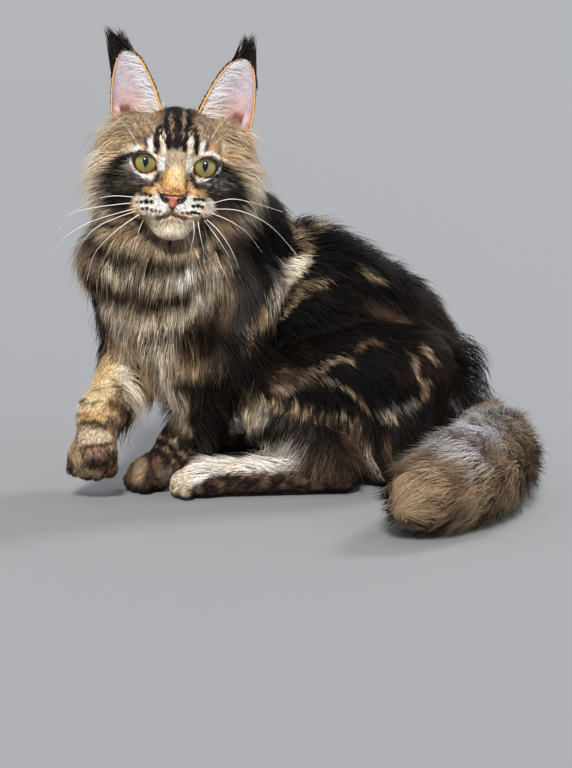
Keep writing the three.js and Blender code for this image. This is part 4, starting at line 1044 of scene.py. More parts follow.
def new_piece(name, points, faces, material, tint=None, uv=None, normals=None, nodes=()):
    """A mesh piece from points in the modelling frame."""
    mesh = bpy.data.meshes.new(name)
    faces = np.asarray(faces)
    corners = faces.shape[1]
    mesh.vertices.add(len(points))
    mesh.vertices.foreach_set("co", place(points).astype(np.float32).ravel())
    mesh.loops.add(faces.size)
    mesh.loops.foreach_set("vertex_index", faces.astype(np.int32).ravel())
    mesh.polygons.add(len(faces))
    mesh.polygons.foreach_set("loop_start", np.arange(0, faces.size, corners, dtype=np.int32))
    mesh.polygons.foreach_set("use_smooth", np.ones(len(faces), bool))
    mesh.update(calc_edges=True)
    if tint is not None:
        layer = mesh.color_attributes.new("tint", "FLOAT_COLOR", "POINT")
        rgba = np.concatenate([np.clip(tint, 0, 1), np.ones((len(points), 1))], 1)
        layer.data.foreach_set("color", rgba.astype(np.float32).ravel())
    if uv is not None:
        layer = mesh.uv_layers.new(name="OFBake")
        corner_uv = uv[faces.ravel()] if len(uv) == len(points) else uv
        layer.data.foreach_set("uv", corner_uv.astype(np.float32).ravel())
    if normals is not None:
        mesh.normals_split_custom_set_from_vertices(normals.tolist())
    mesh.materials.append(material)
    piece = new_object(name, mesh)
    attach(piece, "root")
    if nodes:
        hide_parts(*nodes)
    return piece


# each material's name and roughness; the size and depth of its bumps in millimetres, the strength of the noise in
# its colour and the size of that noise; its specular level and what else its shader is set to
FUR, DOWN, EAR, LEATHER, LID, EYE, WHISKER = (
    new_material(name, roughness, *noise, Specular_IOR_Level=specular, **extra)
    for name, roughness, noise, specular, extra in (
        ("coat_hair", 0.6, (0, 0, 0.1, 2.2), 0.06, {}),
        ("coat_down", 0.9, (0.9, 0.5, 0.3, 1.6), 0.1, {}),
        ("ear_skin", 0.6, (1.2, 0.15, 0.12, 4), 0.25, {}),
        ("nose_leather", 0.38, (0.7, 0.35, 0.15, 1.5), 0.45, {}),
        ("lid_skin", 0.35, (0.6, 0.12, 0.15, 1.2), 0.4, {}),
        ("eye_iris", 0.4, (0.8, 0.03, 0.08, 0.8), 0.1, {"Coat_Weight": 0.55, "Coat_Roughness": 0.02}),
        ("whisker", 0.35, (0, 0, 0.05, 8), 0.5, {}),
    )
)


# The skin

FACE_FINE, BODY_COARSE = 1.5, 3.0
SETTLING_ROUNDS = 2


def spaced(low, high, fine_low, fine_high):
    """Grid places, coarse but for one fine stretch."""
    fine = np.arange(fine_low, fine_high, FACE_FINE)
    after = np.arange(fine_high, high + BODY_COARSE, BODY_COARSE)
    return np.concatenate([np.arange(low, fine_low, BODY_COARSE), fine, after])


def part_of(low, high):
    """The part of the skin's grid between two corners, and its points."""
    span = tuple(slice(*np.searchsorted(axis, ends)) for axis, ends in zip(axes, zip(low, high)))
    return span, grid(*(axis[part] for axis, part in zip(axes, span)))


# the ends of the skin's grid and of its fine stretch over the face, along each axis
GRID_ENDS = ((-172, 198, -148, -22), (-282, 150, -140, -60), (-3, 308, 190, 302))
axes = [spaced(*ends) for ends in GRID_ENDS]
field = np.full([len(a) for a in axes], FAR, np.float32)
for name, own in REGIONS.items():
    span, spots = part_of(own["low"], own["high"])
    field[span] = soft_min(field[span], region_skin(name, spots), SKIN_SOFT)
span, spots = part_of(*FACE_BOX)
field[span] = finish_head(field[span], spots)
field = np.maximum(field, FLOOR_GAP - axes[2])
skin_points, skin_quads = surface_net(axes, field)
for _ in range(SETTLING_ROUNDS):
    distance, skin_normals = slope(skin_form, skin_points)
    skin_points = skin_points - np.clip(distance, -1, 1)[:, None] * skin_normals
_, skin_normals = slope(skin_form, skin_points)


def nearest_region(p):
    return np.argmin(distances(p), 1)


def unwrap(p, name):
    """A point's place on its region opened out round its line: angle across, length up."""
    if name == "head":
        q = to_head(p)
        angle = np.arctan2(q[:, 0], -(q[:, 1] - 30))
        return np.stack([0.5 + angle / (2 * np.pi), np.clip((q[:, 2] + 64) / 116, 0, 1)], 1)
    if name in ("thigh_right", "foot_right"):
        p = mirrored(p)
    line = REGIONS[name]["line"]
    share, _ = along(line, p)
    middle = curve(line, share)
    forward = ahead(line, share, 0.02)
    side = unit(np.cross(forward, (0.3, 0.1, 1.0) if name in ("torso", "tail") else (0.1, -1.0, 0.2)))
    up = np.cross(side, forward)
    away = p - middle
    angle = np.arctan2(dot(away, side), dot(away, up))
    ends = dot(away, forward) / 200
    return np.stack([0.5 + angle / (2 * np.pi), np.clip(0.1 + 0.8 * share + ends, 0, 1)], 1)


TILES = 4  # tiles along each side of the skin's map


def skin_map(points, quads):
    """Each quad's corners on a sheet with one tile for each region."""
    region = nearest_region(points[quads].mean(1))
    uv = np.zeros((len(quads), 4, 2))
    for i, name in enumerate(NAMES):
        some = region == i
        uv[some] = unwrap(points[quads[some]].reshape(-1, 3), name).reshape(-1, 4, 2)
    u = uv[..., 0]
    u += (u.max(1, keepdims=True) - u.min(1, keepdims=True) > 0.5) * (u < 0.5)
    u *= 0.9
    uv = 0.04 + 0.92 * np.clip(uv, 0, 1)
    tile = np.stack([region % TILES, region // TILES], 1)
    return ((tile[:, None, :] + uv) / TILES).reshape(-1, 2)


DOWN_PAINTED_SHADE = 0.45  # the skin's tint against the coat's: darkened as painted shade at the foot of the hair
new_piece(
    "skin",
    skin_points,
    skin_quads,
    DOWN,
    tint=coat_tint(skin_points) * DOWN_PAINTED_SHADE,
    uv=skin_map(skin_points, skin_quads),
    nodes=[*(r["node"] for r in REGIONS.values() if r["node"]), *TAIL_NODES],
)


# Hair


def strands(path, side, width, swell, flat=0.32):
    """Closed three-sided strands. path is (strands, rings + 2, 3), side the width's direction at each point
    and swell the share of the width at each ring. Returns points, faces, normals and each point's step."""
    count, length = path.shape[:2]
    rings = length - 2
    forward = unit(np.gradient(path, axis=1))
    side = unit(side - dot(side, forward)[..., None] * forward)
    out = np.cross(forward, side)
    half = 0.5 * width[:, None] * np.asarray(swell)[None, :]
    middle, s, o = path[:, 1:-1], side[:, 1:-1], out[:, 1:-1]
    low, high = middle - o * (flat * half)[..., None], middle + o * (1.5 * flat * half)[..., None]
    ring = np.stack([low + s * half[..., None], high, low - s * half[..., None]], 2)
    points = np.concatenate([path[:, :1], ring.reshape(count, rings * 3, 3), path[:, -1:]], 1)
    normals = np.stack([0.75 * s + 0.35 * o, o, -0.75 * s + 0.35 * o], 2).reshape(count, rings * 3, 3)
    normals = np.concatenate([out[:, :1], normals, out[:, -1:]], 1)
    last = 3 * rings + 1
    faces = []
    for i in range(3):
        j = (i + 1) % 3
        faces.append((0, 1 + j, 1 + i))
        for r in range(rings - 1):
            a, b = 1 + 3 * r, 4 + 3 * r
            faces += [(a + i, a + j, b + j), (a + i, b + j, b + i)]
        faces.append((last, last - 3 + i, last - 3 + j))
    faces = np.array(faces)
    all_faces = (faces[None] + np.arange(count)[:, None, None] * (last + 1)).reshape(-1, 3)
    steps = np.concatenate([[0], np.repeat(np.arange(rings) + 1, 3), [rings + 1]])
    return points, all_faces, normals, steps


def tilt(v, axis, angle):
    """Vectors turned about unit axes by angles."""
    c, s = np.cos(angle)[:, None], np.sin(angle)[:, None]
    return v * c + np.cross(axis, v) * s + axis * dot(axis, v)[:, None] * (1 - c)


def toward(base, way, share):
    return base * (1 - share[:, None]) + way * share[:, None]




def face_flow(p):
    """Back from the nose, down on the lip, under on the chin."""
    x, y, z = to_head(p).T
    sign, zero = np.sign(x), 0 * x
    way = unit(np.stack([x * 0.9, (y + 34) * 0.8, z + 24], 1))
    lip = step(-4, -12, y) * step(-24, -31, z)
    way = toward(way, np.stack([sign * 0.8, 0.35 + zero, -0.5 + zero], 1), lip)
    chin = step(-38, -44, z) * bump(x, 0, 18, 8)
    way = toward(way, np.stack([x * 0.03, 0.15 + zero, -1 + zero], 1), chin)
    return way @ HEAD_TURN.T


def mane_flow(p):
    """Out from the face at the sides, back and down behind it."""
    x, y, z = to_head(p).T
    fall = 0.25 + 0.1 * step(5, 25, z) + 0.5 * step(-8, -38, z)
    side = unit(np.stack([x, 0.2 * (y - 10), -fall * np.abs(x)], 1))
    rear = unit(np.stack([x * 0.6, 26 + 0 * x, -34 + 0.4 * z], 1))
    return toward(side, rear, step(50, 66, y)) @ HEAD_TURN.T


FACE_MIDDLE = from_head((0, 44, -8))


def neck_flow(p):
    front = unit(p - FACE_MIDDLE) * 0.6 + (0, 0, -1)
    return toward(front, (0.75, 0.35, -0.5), step(-30, 0, p[:, 1] + 0.25 * (p[:, 0] + 60)))


def chest_flow(p):
    return (-0.05, -0.12, -1) + 0.006 * (p[:, :1] + 88) * (1, 0, 0)


def torso_flow(p):
    way = toward((0.95, 0.15, -0.35), (0.42, 0.08, -1.0), step(-40, 130, p[:, 0]))
    return toward(way, (0.3, 0, -1), step(100, 60, p[:, 2]) * step(90, 40, p[:, 0]))


def thigh_flow(p):
    low = toward((0.3, -0.1, -1), (-0.48, -0.15, -1), step(70, 10, p[:, 0]))
    return toward((0.72, 0, -0.78), low, step(86, 62, p[:, 2]))


def flow_along(line, lean=(0, 0, 0)):
    def flow(p):
        share, _ = along(line, p, 16)
        return ahead(line, share, 0.05) + lean

    return flow


def straight(*way):
    return lambda p: way


def turned(flow):
    """The same lie of the coat on the other hind leg."""
    return lambda p: flow(mirrored(p)) * (1, -1, 1)


# How much of each coat grows at a place, and the shares of its length and lift there


def mane_share(p):
    x, y, z = to_head(p).T
    x = np.abs(x)
    side = step(30, 42, x + 0.1 * np.maximum(-z, 0)) * step(2, 16, y)
    return np.maximum(side, step(44, 56, y))


def face_shape(p, n):
    x, y, z = to_head(p).T
    x = np.abs(x)
    nose = step(8, -8, y) * step(-33, -24, z)
    pads = step(2, -8, y) * step(-20, -26, z) * step(-44, -38, z)
    chin = step(-44, -52, z)
    crown = step(20, 32, z) * step(16, 34, y) * lerp(1, 0.4, step(20, 30, x))
    length = 1 - 0.5 * nose - 0.42 * pads + 0.2 * chin + 1.1 * crown + 0.6 * step(22, 36, x) * step(4, 20, y)
    return 1 - mane_share(p), length, 1 - 0.25 * pads + 0.8 * crown + 0.4 * chin


def mane_shape(p, n):
    x, y, z = to_head(p).T
    x = np.abs(x)
    rear = step(46, 64, y)
    length = lerp(0.4, 1.0, step(34, 48, x)) * lerp(0.75, 1.0, step(34, 14, z))
    length = lerp(length, 0.75, rear) * lerp(1, 0.78, step(-2, -22, z))
    return mane_share(p), length, lerp(lerp(0.75, 1.15, step(36, 50, x)), 0.6, rear)


def plain(p, n):
    return 1, 1, 1


def parted(p):
    """The share of the coat's length that is left along the lines of the shoulder."""
    u, v = seen(p)
    return 1 - 0.55 * np.minimum(sum(stripe(u, v, points, 3.2, 5.6) for points in SHOULDER_LINES), 1)


def neck_shape(p, n):
    front = step(-10, -50, p[:, 1])
    return 1, (0.8 + 0.3 * front) * parted(p), 0.7 + 0.3 * front


def torso_shape(p, n):
    withers = bump(p[:, 0], 15, 40, 45) * step(0.1, 0.6, n[:, 2])
    rear = step(20, 100, p[:, 0])
    length = 0.85 + 0.35 * withers + 0.4 * rear + 0.6 * step(90, 50, p[:, 2]) * step(100, 60, p[:, 0])
    return 1, length * parted(p), 0.9 + 0.6 * withers


def belly_shape(p, n):
    under = step(-0.2, -0.6, n[:, 2]) * step(60, 30, p[:, 0])
    elbow = step(0.1, 0.6, n[:, 0]) * step(-62, -48, p[:, 0]) * step(120, 105, p[:, 2])
    return np.maximum(under, elbow), 1, 1


def under_shape(p, n):
    return step(-0.05, -0.5, n[:, 2]), 1, 1


def elbow_shape(p, n):
    """The feathering behind the standing foreleg."""
    here = step(-0.3, 0.3, n[:, 0]) * step(44, 56, p[:, 2]) * step(140, 120, p[:, 2])
    return here, 1, 1


def cuff_shape(p, n):
    """The feathering behind the raised foreleg."""
    share, _ = along(FORE_RIGHT_LINE, p, 16)
    here = step(-0.1, 0.4, n[:, 0] - 0.5 * n[:, 2]) * bump(share, 0.46, 0.15, 0.08)
    return here, 1, 1


def leg_shape(line, top, bottom, low, high):
    def shape(p, n):
        share, _ = along(line, p, 16)
        return 1, lerp(top, bottom, step(low, high, share)), 1

    return shape


def thigh_shape(p, n):
    x, z = p[:, 0], p[:, 2]
    length = 0.8 + 1.0 * step(72, 50, z)
    return 1, length, 1 + 0.2 * step(70, 50, z)


def tail_shape(p, n):
    share, _ = along(TAIL_LINE, p, 24)
    length = lerp(0.3, 1.0, step(0.08, 0.32, share)) * lerp(1, 0.75, step(0.88, 1, share))
    return lerp(1, 0.35, step(-0.3, -0.8, n[:, 2])), length, lerp(1, 0.7, step(0.9, 1, share))


def far_leg(shape):
    return lambda p, n: shape(mirrored(p), n * (1, -1, 1))


def foot_shape(p, n):
    top = step(0.2, 0.8, n[:, 2]) * step(-78, -60, p[:, 0])
    return 1, 1 + 1.5 * top - 0.45 * step(-70, -78, p[:, 0]), 1 + 0.9 * top


foot_flow = flow_along(FOOT_LINE)
PLAIN_TONES = (0.7, 0.13, 0.12, 0.42, 0)
BIB_TONES = (0.6, 0.15, 0.24, 0.42, 0)
# Each coat: its region, lie and shape; strands to a square centimetre, length, width and lift in degrees; rings
# to a strand, strands to a clump and the pull into clumps; then its tones: how much of a ring's colour is its own
# place's rather than its clump's, the spread of strands' and of clumps' tones, the tone at the root (painted shade
# deep in the coat), and how far the whole coat is darkened towards INK (painted shade of the underside)
COATS = {
    "face": ("head", face_flow, face_shape, (120, 5.2, 0.5, 17), (2, 8, 0.25), (0.88, 0.13, 0.08, 0.64, 0)),
    "mane": ("head", mane_flow, mane_shape, (70, 34, 0.52, 48), (2, 12, 0.34), (0.82, 0.14, 0.13, 0.56, 0)),
    "neck": ("neck", neck_flow, neck_shape, (64, 20, 0.54, 40), (2, 16, 0.45), BIB_TONES),
    "chest": ("chest", chest_flow, plain, (76, 18, 0.54, 38), (2, 16, 0.45), BIB_TONES),
    "brisket": ("chest", straight(-0.05, 0.1, -1), under_shape, (50, 32, 0.62, 45), (3, 12, 0.4), PLAIN_TONES),
    "torso": ("torso", torso_flow, torso_shape, (38, 16, 0.68, 27), (2, 10, 0.25), (0.75, 0.12, 0.12, 0.42, 0)),
    # the belly's hair is taken nearly to INK: dark fur made darker as painted shade of the underside
    "belly": (
        "torso", straight(-0.1, -0.1, -1), belly_shape,
        (17, 40, 0.8, 60), (3, 14, 0.4), (0.7, 0.13, 0.12, 0.42, 0.92),
    ),
    "fore_left": (
        "fore_left", flow_along(FORE_LEFT_LINE, (0.15, 0, -0.25)),
        leg_shape(FORE_LEFT_LINE, 2.8, 0.38, 0.1, 0.75), (50, 11, 0.6, 17), (2, 9, 0.3), PLAIN_TONES,
    ),
    # the feathering behind the standing foreleg is taken nearly to INK: dark fur made darker as painted shade behind
    # the leg
    "elbow": (
        "fore_left", straight(0.45, 0.1, -1), elbow_shape,
        (36, 36, 0.62, 36), (3, 12, 0.4), (0.7, 0.13, 0.12, 0.42, 0.88),
    ),
    "fore_right": (
        "fore_right", flow_along(FORE_RIGHT_LINE, (0, 0, -0.15)),
        leg_shape(FORE_RIGHT_LINE, 2.2, 0.4, 0.25, 0.6), (42, 11, 0.6, 19), (2, 9, 0.3), (0.85, 0.1, 0.07, 1.0, 0),
    ),
    "cuff": (
        "fore_right", straight(0.35, 0.1, -1), cuff_shape,
        (40, 26, 0.52, 34), (3, 10, 0.4), (0.7, 0.13, 0.12, 0.6, 0),
    ),
    "thigh_left": (
        "thigh_left", thigh_flow, thigh_shape,
        (46, 15, 0.58, 26), (2, 10, 0.4), (0.6, 0.14, 0.16, 0.42, 0),
    ),
    "thigh_right": (
        "thigh_right", turned(thigh_flow), far_leg(thigh_shape),
        (20, 20, 0.95, 24), (2, 10, 0.4), PLAIN_TONES,
    ),
    "foot_left": ("foot_left", foot_flow, foot_shape, (68, 5.5, 0.58, 18), (2, 7, 0.3), (0.8, 0.12, 0.1, 0.58, 0)),
    "foot_right": (
        "foot_right", turned(foot_flow), far_leg(foot_shape),
        (30, 5.5, 0.75, 18), (2, 7, 0.3), PLAIN_TONES,
    ),
    "tail": ("tail", flow_along(TAIL_LINE), tail_shape, (54, 42, 0.52, 30), (2, 12, 0.3), (0.6, 0.13, 0.12, 0.6, 0)),
}  # fmt: skip

quad_corners = skin_points[skin_quads]
quad_area = 0.5 * np.linalg.norm(
    np.cross(quad_corners[:, 2] - quad_corners[:, 0], quad_corners[:, 3] - quad_corners[:, 1]), axis=1
)
quad_middle = quad_corners.mean(1)
quad_normal = unit(skin_normals[skin_quads].mean(1))
quad_region = nearest_region(quad_middle)
FAR_SIDE = 0.55  # share of the strands on the side away from the front view


def roots(name, shape, dense):
    """Random places on a region's skin, with the share of each place's strands."""
    mine = np.flatnonzero(quad_region == NAMES.index(name))
    middle, normal = quad_middle[mine], quad_normal[mine]
    share, _, _ = shape(middle, normal)
    facing = lerp(FAR_SIDE, 1, step(0.3, -0.3, normal @ FORWARD))
    weight = quad_area[mine] * share * facing * (middle[:, 2] > LOWEST_ROOT)
    if name == "head":
        weight *= eye_openings(middle) > EYE_CLEAR
    chosen = random.choice(len(mine), int(weight.sum() / 100 * dense), p=weight / weight.sum())
    s, t = random.uniform(size=(2, len(chosen), 1))
    corners = skin_quads[mine[chosen]]

    def mixed(values):
        a, b, c, d = (values[corners[:, i]] for i in range(4))
        return (a * (1 - s) + b * s) * (1 - t) + (d * (1 - s) + c * s) * t

    return mixed(skin_points), unit(mixed(skin_normals)), facing[chosen]


def clump_leaders(spots, size):
    """For each root, the index of the root that leads its clump."""
    leaders = random.permutation(len(spots))[: max(1, len(spots) // size)]
    tree = kdtree.KDTree(len(leaders))
    for i, leader in enumerate(leaders):
        tree.insert(spots[leader], i)
    tree.balance()
    return leaders[[tree.find(place)[1] for place in spots]]


SHARES = {2: (0.48, 0.52), 3: (0.3, 0.35, 0.35)}
LIFTS = {2: (1.0, 0.4), 3: (1.15, 0.65, 0.2)}
SWELL = {2: (0.95, 0.7), 3: (0.8, 1.0, 0.66)}
# some of the hair that is within GUARD_SPAN of GUARD_NEAR long outgrows the rest
GUARD_NEAR, GUARD_SPAN, GUARD_SHARE, GUARD_LENGTH = 21, 9, 0.12, 1.5
ROOT_DEPTH = 2.5
LOWEST_HAIR, LOWEST_ROOT = 1.2, 2.2
MOST_LIFT = 1.3
EYE_CLEAR = 0.7  # no hair grows nearer to the eyes' openings


def grow(flow, spots, normals, length, lift, rings, clump, pull):
    """Strand paths: they leave the skin, lie along the flow and gather into clumps."""
    count = len(spots)
    guard = (np.abs(length - GUARD_NEAR) < GUARD_SPAN) & (random.uniform(size=count) < GUARD_SHARE)
    length = length * random.uniform(0.72, 1.1, count) * np.where(guard, GUARD_LENGTH, 1)
    turn = 0.22 * waves(spots, 24, 41) + 0.13 * random.normal(size=count)
    lift = np.radians(lift) * (1 + 0.3 * waves(spots, 17, 43)) * random.uniform(0.7, 1.3, count)
    path, side = np.zeros((2, count, rings + 2, 3))
    path[:, 0] = spots - normals * np.minimum(ROOT_DEPTH, 0.25 * length)[:, None]
    p, n = spots.copy(), normals.copy()
    for k in range(rings + 1):
        path[:, k + 1] = p
        way = flow(p)
        way = tilt(unit(way - dot(way, n)[:, None] * n), n, turn)
        side[:, k + 1] = np.cross(n, way)
        if k == rings:
            break
        up = np.minimum(lift * LIFTS[rings][k], MOST_LIFT)
        forward = way * np.cos(up)[:, None] + n * np.sin(up)[:, None]
        p = p + forward * (length * SHARES[rings][k])[:, None]
        distance, n = slope(skin_form, p)
        room = 0.3 + 0.12 * length * (k + 1) / (rings + 1)
        p = p + n * np.maximum(room - distance, 0)[:, None]
        p[:, 2] = np.maximum(p[:, 2], LOWEST_HAIR)
    side[:, 0] = side[:, 1]
    leader = clump_leaders(spots, clump)
    gather = (np.arange(rings + 2) / (rings + 1)) ** 1.4 * pull
    gather = gather[None, :, None] * random.uniform(0.5, 1.2, (count, 1, 1))
    gather[:, 0] = 0
    return path + (path[leader] - path) * gather, side, leader


# the tip's tone at the end of the painted shade ramp along each strand
TIP_TONE = 1.08


def colour_of(path, leader, sharp, own_tone, clump_tone, root_tone, dark):
    """A strand's colour at each step: its clump's marking mixed with the marking at the step itself, darker
    at the root as painted shade deep in the coat, with tones of its own."""
    count, steps = path.shape[:2]
    slip = (path[:, -1] - path[:, 1]) * (0.05 * random.normal(size=count))[:, None]
    spot_of = path[:, -2] * 0.45 + path[:, -1] * 0.55
    base = coat_tint(lerp(spot_of, spot_of[leader], 0.7) + slip)
    rings = [lerp(base, coat_tint(path[:, k]), sharp) for k in range(1, steps)]
    colour = lerp(np.stack([rings[0], *rings], 1), INK, dark)
    own = np.exp(own_tone * random.normal(size=count) + clump_tone * random.normal(size=count)[leader])
    # the ramp from a dark root to a tip a little lighter than the marking is painted shade of the coat's depth
    tone = lerp(root_tone, TIP_TONE, np.linspace(0, 1, steps) ** 0.7)
    return np.clip(colour * tone[None, :, None] * own[:, None, None], 0.002, 0.97)


PATCH = 0.003  # a strand's patch on the bake map


def strand_piece(name, path, side, width, colour, outward, uv, slot="coat", soft=0.62):
    rings = path.shape[1] - 2
    points, faces, normals, steps = strands(path, side, width, SWELL[rings])
    shaded = unit(normals * (1 - soft) + outward[:, None, :] * soft)
    across = np.concatenate([[0.5], np.tile((0.0, 0.5, 1.0), rings), [0.5]]) - 0.5
    corner = uv[:, None, :] + PATCH * np.stack([across, steps / (rings + 1) - 0.5], 1)[None]
    return new_piece(
        name,
        points.reshape(-1, 3),
        faces,
        FUR,
        tint=colour[:, steps].reshape(-1, 3),
        uv=corner.reshape(-1, 2),
        normals=shaded.reshape(-1, 3),
    )


MOST_FACES = 190_000
STRAND_FACES = 6  # for each ring of a strand
quick_share = 1.0  # of the strands
for label, (name, flow, shape, (dense, long, wide, lift), (rings, clump, pull), tones) in COATS.items():
    spots, normals, facing = roots(name, shape, dense * quick_share)
    _, long_share, lift_share = shape(spots, normals)
    width = wide * (0.75 + 0.25 * long_share) * random.uniform(0.75, 1.3, len(spots))
    width = width / np.sqrt(facing * quick_share)
    path, side, leader = grow(flow, spots, normals, long * long_share, lift * lift_share, rings, clump, pull)
    colour = colour_of(path, leader, *tones)
    uv = 0.01 + 0.98 * unwrap(spots, name)
    pieces = math.ceil(len(spots) * STRAND_FACES * rings / MOST_FACES)
    for i, some in enumerate(np.array_split(np.argsort(uv[:, 1], kind="stable"), pieces)):
        piece_name = f"coat_{label}" if pieces == 1 else f"coat_{label}_{i + 1}"
        strand_piece(piece_name, *(values[some] for values in (path, side, width, colour, normals, uv)))


# Eyes


def grid_faces(rows, columns, closed=False):
    faces = []
    for r in range(rows - 1):
        for c in range(columns if closed else columns - 1):
            d = (c + 1) % columns
            faces.append((r * columns + c, r * columns + d, (r + 1) * columns + d, (r + 1) * columns + c))
    return np.array(faces)


def full_turn(count):
    return np.linspace(0, 2 * np.pi, count, endpoint=False)


EYE_ROWS, EYE_COLUMNS = 72, 96
IRIS_RADIUS = 7.9
PUPIL_HALF_WIDTH = 2.3
PUPIL_TOP, PUPIL_MIDDLE, PUPIL_FOOT = 4.6, 1.6, -3.8
IRIS_MIDDLE_TONE = srgb(122, 126, 92)
IRIS_EDGE_TONE = srgb(160, 136, 62)
IRIS_LID_SHADOW = srgb(36, 36, 24)
PUPIL_TONE = srgb(3, 3, 5)
RIM_TONE = srgb(24, 19, 16)


def eye_tint(e):
    """Grey-green iris with a golden edge, shaded above, and an upright pupil that is pointed below."""
    x, z = e[:, 0] - IRIS_CENTRE[0], e[:, 2] - IRIS_CENTRE[1]
    r, angle = np.hypot(x, z), np.arctan2(z, x)
    fibre = np.sin(angle * 31 + 2 * np.sin(r)) * 0.5 + np.sin(angle * 53 + 1.3 * r) * 0.35
    gold = step(3.4, 6.0, r + 0.35 * fibre) * (0.6 + 0.4 * step(3, -4, z))
    colour = paint(IRIS_MIDDLE_TONE, IRIS_EDGE_TONE, gold)
    # painted shadow of the upper lid across the top of the iris
    colour = paint(colour, IRIS_LID_SHADOW, 0.85 * step(1.0, 5.0, z) + 0.12 * fibre)
    colour = paint(colour, RIM_TONE, step(IRIS_RADIUS - 0.5, IRIS_RADIUS + 0.1, r))
    upper = np.hypot(x / PUPIL_HALF_WIDTH, (z - PUPIL_MIDDLE) / (PUPIL_TOP - PUPIL_MIDDLE))
    down = np.clip((PUPIL_MIDDLE - z) / (PUPIL_MIDDLE - PUPIL_FOOT), 0, 1)
    lower = np.abs(x) / np.maximum(PUPIL_HALF_WIDTH * (1 - down**1.7), 0.05) + 2 * (z < PUPIL_FOOT)
    pupil = 1 - step(0.93, 1.1, np.where(z > PUPIL_MIDDLE, upper, lower))
    return paint(colour, PUPIL_TONE, pupil)


def eyeball(way):
    polar, angle = grid(np.linspace(0, np.pi, EYE_ROWS), full_turn(EYE_COLUMNS)).reshape(-1, 2).T
    e = np.stack([np.sin(polar) * np.cos(angle), -np.cos(polar), np.sin(polar) * np.sin(angle)], -1)
    cornea = np.exp(-((np.hypot(e[:, 0], e[:, 2]) / 0.62) ** 2)) * (e[:, 1] < 0)
    e = e * (EYE_RADIUS - 0.25 + 0.7 * cornea)[:, None]
    points = from_head(eye_centre(way) + e)
    return points, grid_faces(EYE_ROWS, EYE_COLUMNS, closed=True), eye_tint(e * (way, 1, 1))


for side_name, way in SIDES:
    points, faces, tint = eyeball(way)
    new_piece(f"eyeball_{side_name}", points, faces, EYE, tint=tint, nodes=[f"eye_{side_name}"])

LID_COLUMNS = 96
# the section of a lid: how far outward from the opening to the outline, and how high above the eye
LID_SECTION = ((0, 0.12), (0.03, 0.85), (0.3, 1.25), (0.75, 1.3), (1.0, 1.0), (1.18, -0.2))


def lids(way):
    angle = full_turn(LID_COLUMNS)
    turn = np.stack([np.cos(angle), np.sin(angle)], 1)
    inner = turn * OPENING_RADIUS + IRIS_CENTRE
    inner[:, 1] = soft_min(inner[:, 1], OPENING_TOP + 0.1 * inner[:, 0] - 0.03 * inner[:, 0] ** 2, 1.5)
    outer = turn * almond_radius(angle)[:, None] + IRIS_CENTRE
    rings = []
    for share, high in LID_SECTION:
        flat = lerp(inner, outer, share)
        deep = np.sqrt(np.maximum((EYE_RADIUS + high) ** 2 - (flat**2).sum(1), 2.0))
        rings.append(np.stack([way * flat[:, 0], -deep, flat[:, 1]], 1) + eye_centre(way))
    faces = grid_faces(len(LID_SECTION), LID_COLUMNS, closed=True)
    share = np.repeat([s for s, _ in LID_SECTION], LID_COLUMNS)
    tint = paint(RIM_TONE, srgb(52, 42, 38), 0.6 * step(0.4, 1, share))
    return from_head(np.concatenate(rings)), faces[:, ::-1] if way > 0 else faces, tint


for side_name, way in SIDES:
    points, faces, tint = lids(way)
    new_piece(f"lids_{side_name}", points, faces, LID, tint=tint)


# Nose and lips


def nose_form(p):
    q = to_head(p)
    body = blend(
        2.5,
        ball((0, -26.6, -24.2), (6.4, 4, 3.2)),
        *pair(lambda way: ball((way * 4.8, -26.0, -24.8), (3.9, 3.4, 2.7))),
        *pair(lambda way: ball((way * 7.4, -24.4, -22.6), (3.0, 2.8, 1.8))),
        ball((0, -27, -28), (2.6, 3.2, 4)),
    )(q)
    for _, way in SIDES:
        hole = limb((way * 3.9, -33, -26.0), (way * 5.0, -26.5, -25.0), 1.4, 1.1)(q)
        slit = limb((way * 5.0, -31, -25.6), (way * 9.0, -26.5, -23.8), 0.9, 0.5)(q)
        body = -soft_min(-body, np.minimum(hole, slit), 0.8)
    return -soft_min(-body, limb((0, -32.0, -24), (0, -31.6, -34), 0.35, 0.45)(q), 0.6)


NOSE_FINE = 0.4
NOSE_RED = srgb(190, 108, 90)
NOSE_DEEP = srgb(126, 66, 54)
NOSE_DARK = srgb(30, 21, 20)
nose_axes = [np.arange(c - s, c + s, NOSE_FINE) for c, s in zip(from_head((0, -27, -26)), (13, 9, 10))]
nose_points, nose_faces = surface_net(nose_axes, nose_form(grid(*nose_axes)))
q = to_head(nose_points)
leather = paint(NOSE_RED, NOSE_DEEP, 0.35 + 0.3 * waves(q, 4, 51))
away = np.abs(q[:, 0])
leather = paint(leather, NOSE_DEEP, 0.8 * step(2.4, 5.2, away))
edge = np.maximum(step(5.6, 7.4, away), step(-23.4, -21.8, q[:, 2]))
nostril = step(3.0, 1.6, np.hypot(away - 4.9, 1.2 * (q[:, 2] + 25.4)))
wing = step(1.6, 0.6, np.abs(q[:, 2] + 26.6 - 0.4 * (away - 4))) * step(3.0, 4.2, away)
leather = paint(leather, NOSE_DARK, np.maximum(np.maximum(edge, nostril), wing))
leather = paint(leather, NOSE_DARK, 0.8 * step(-28.6, -31.2, q[:, 2]))
new_piece("nose_tip", nose_points, nose_faces, LEATHER, tint=leather, nodes=["nose"])


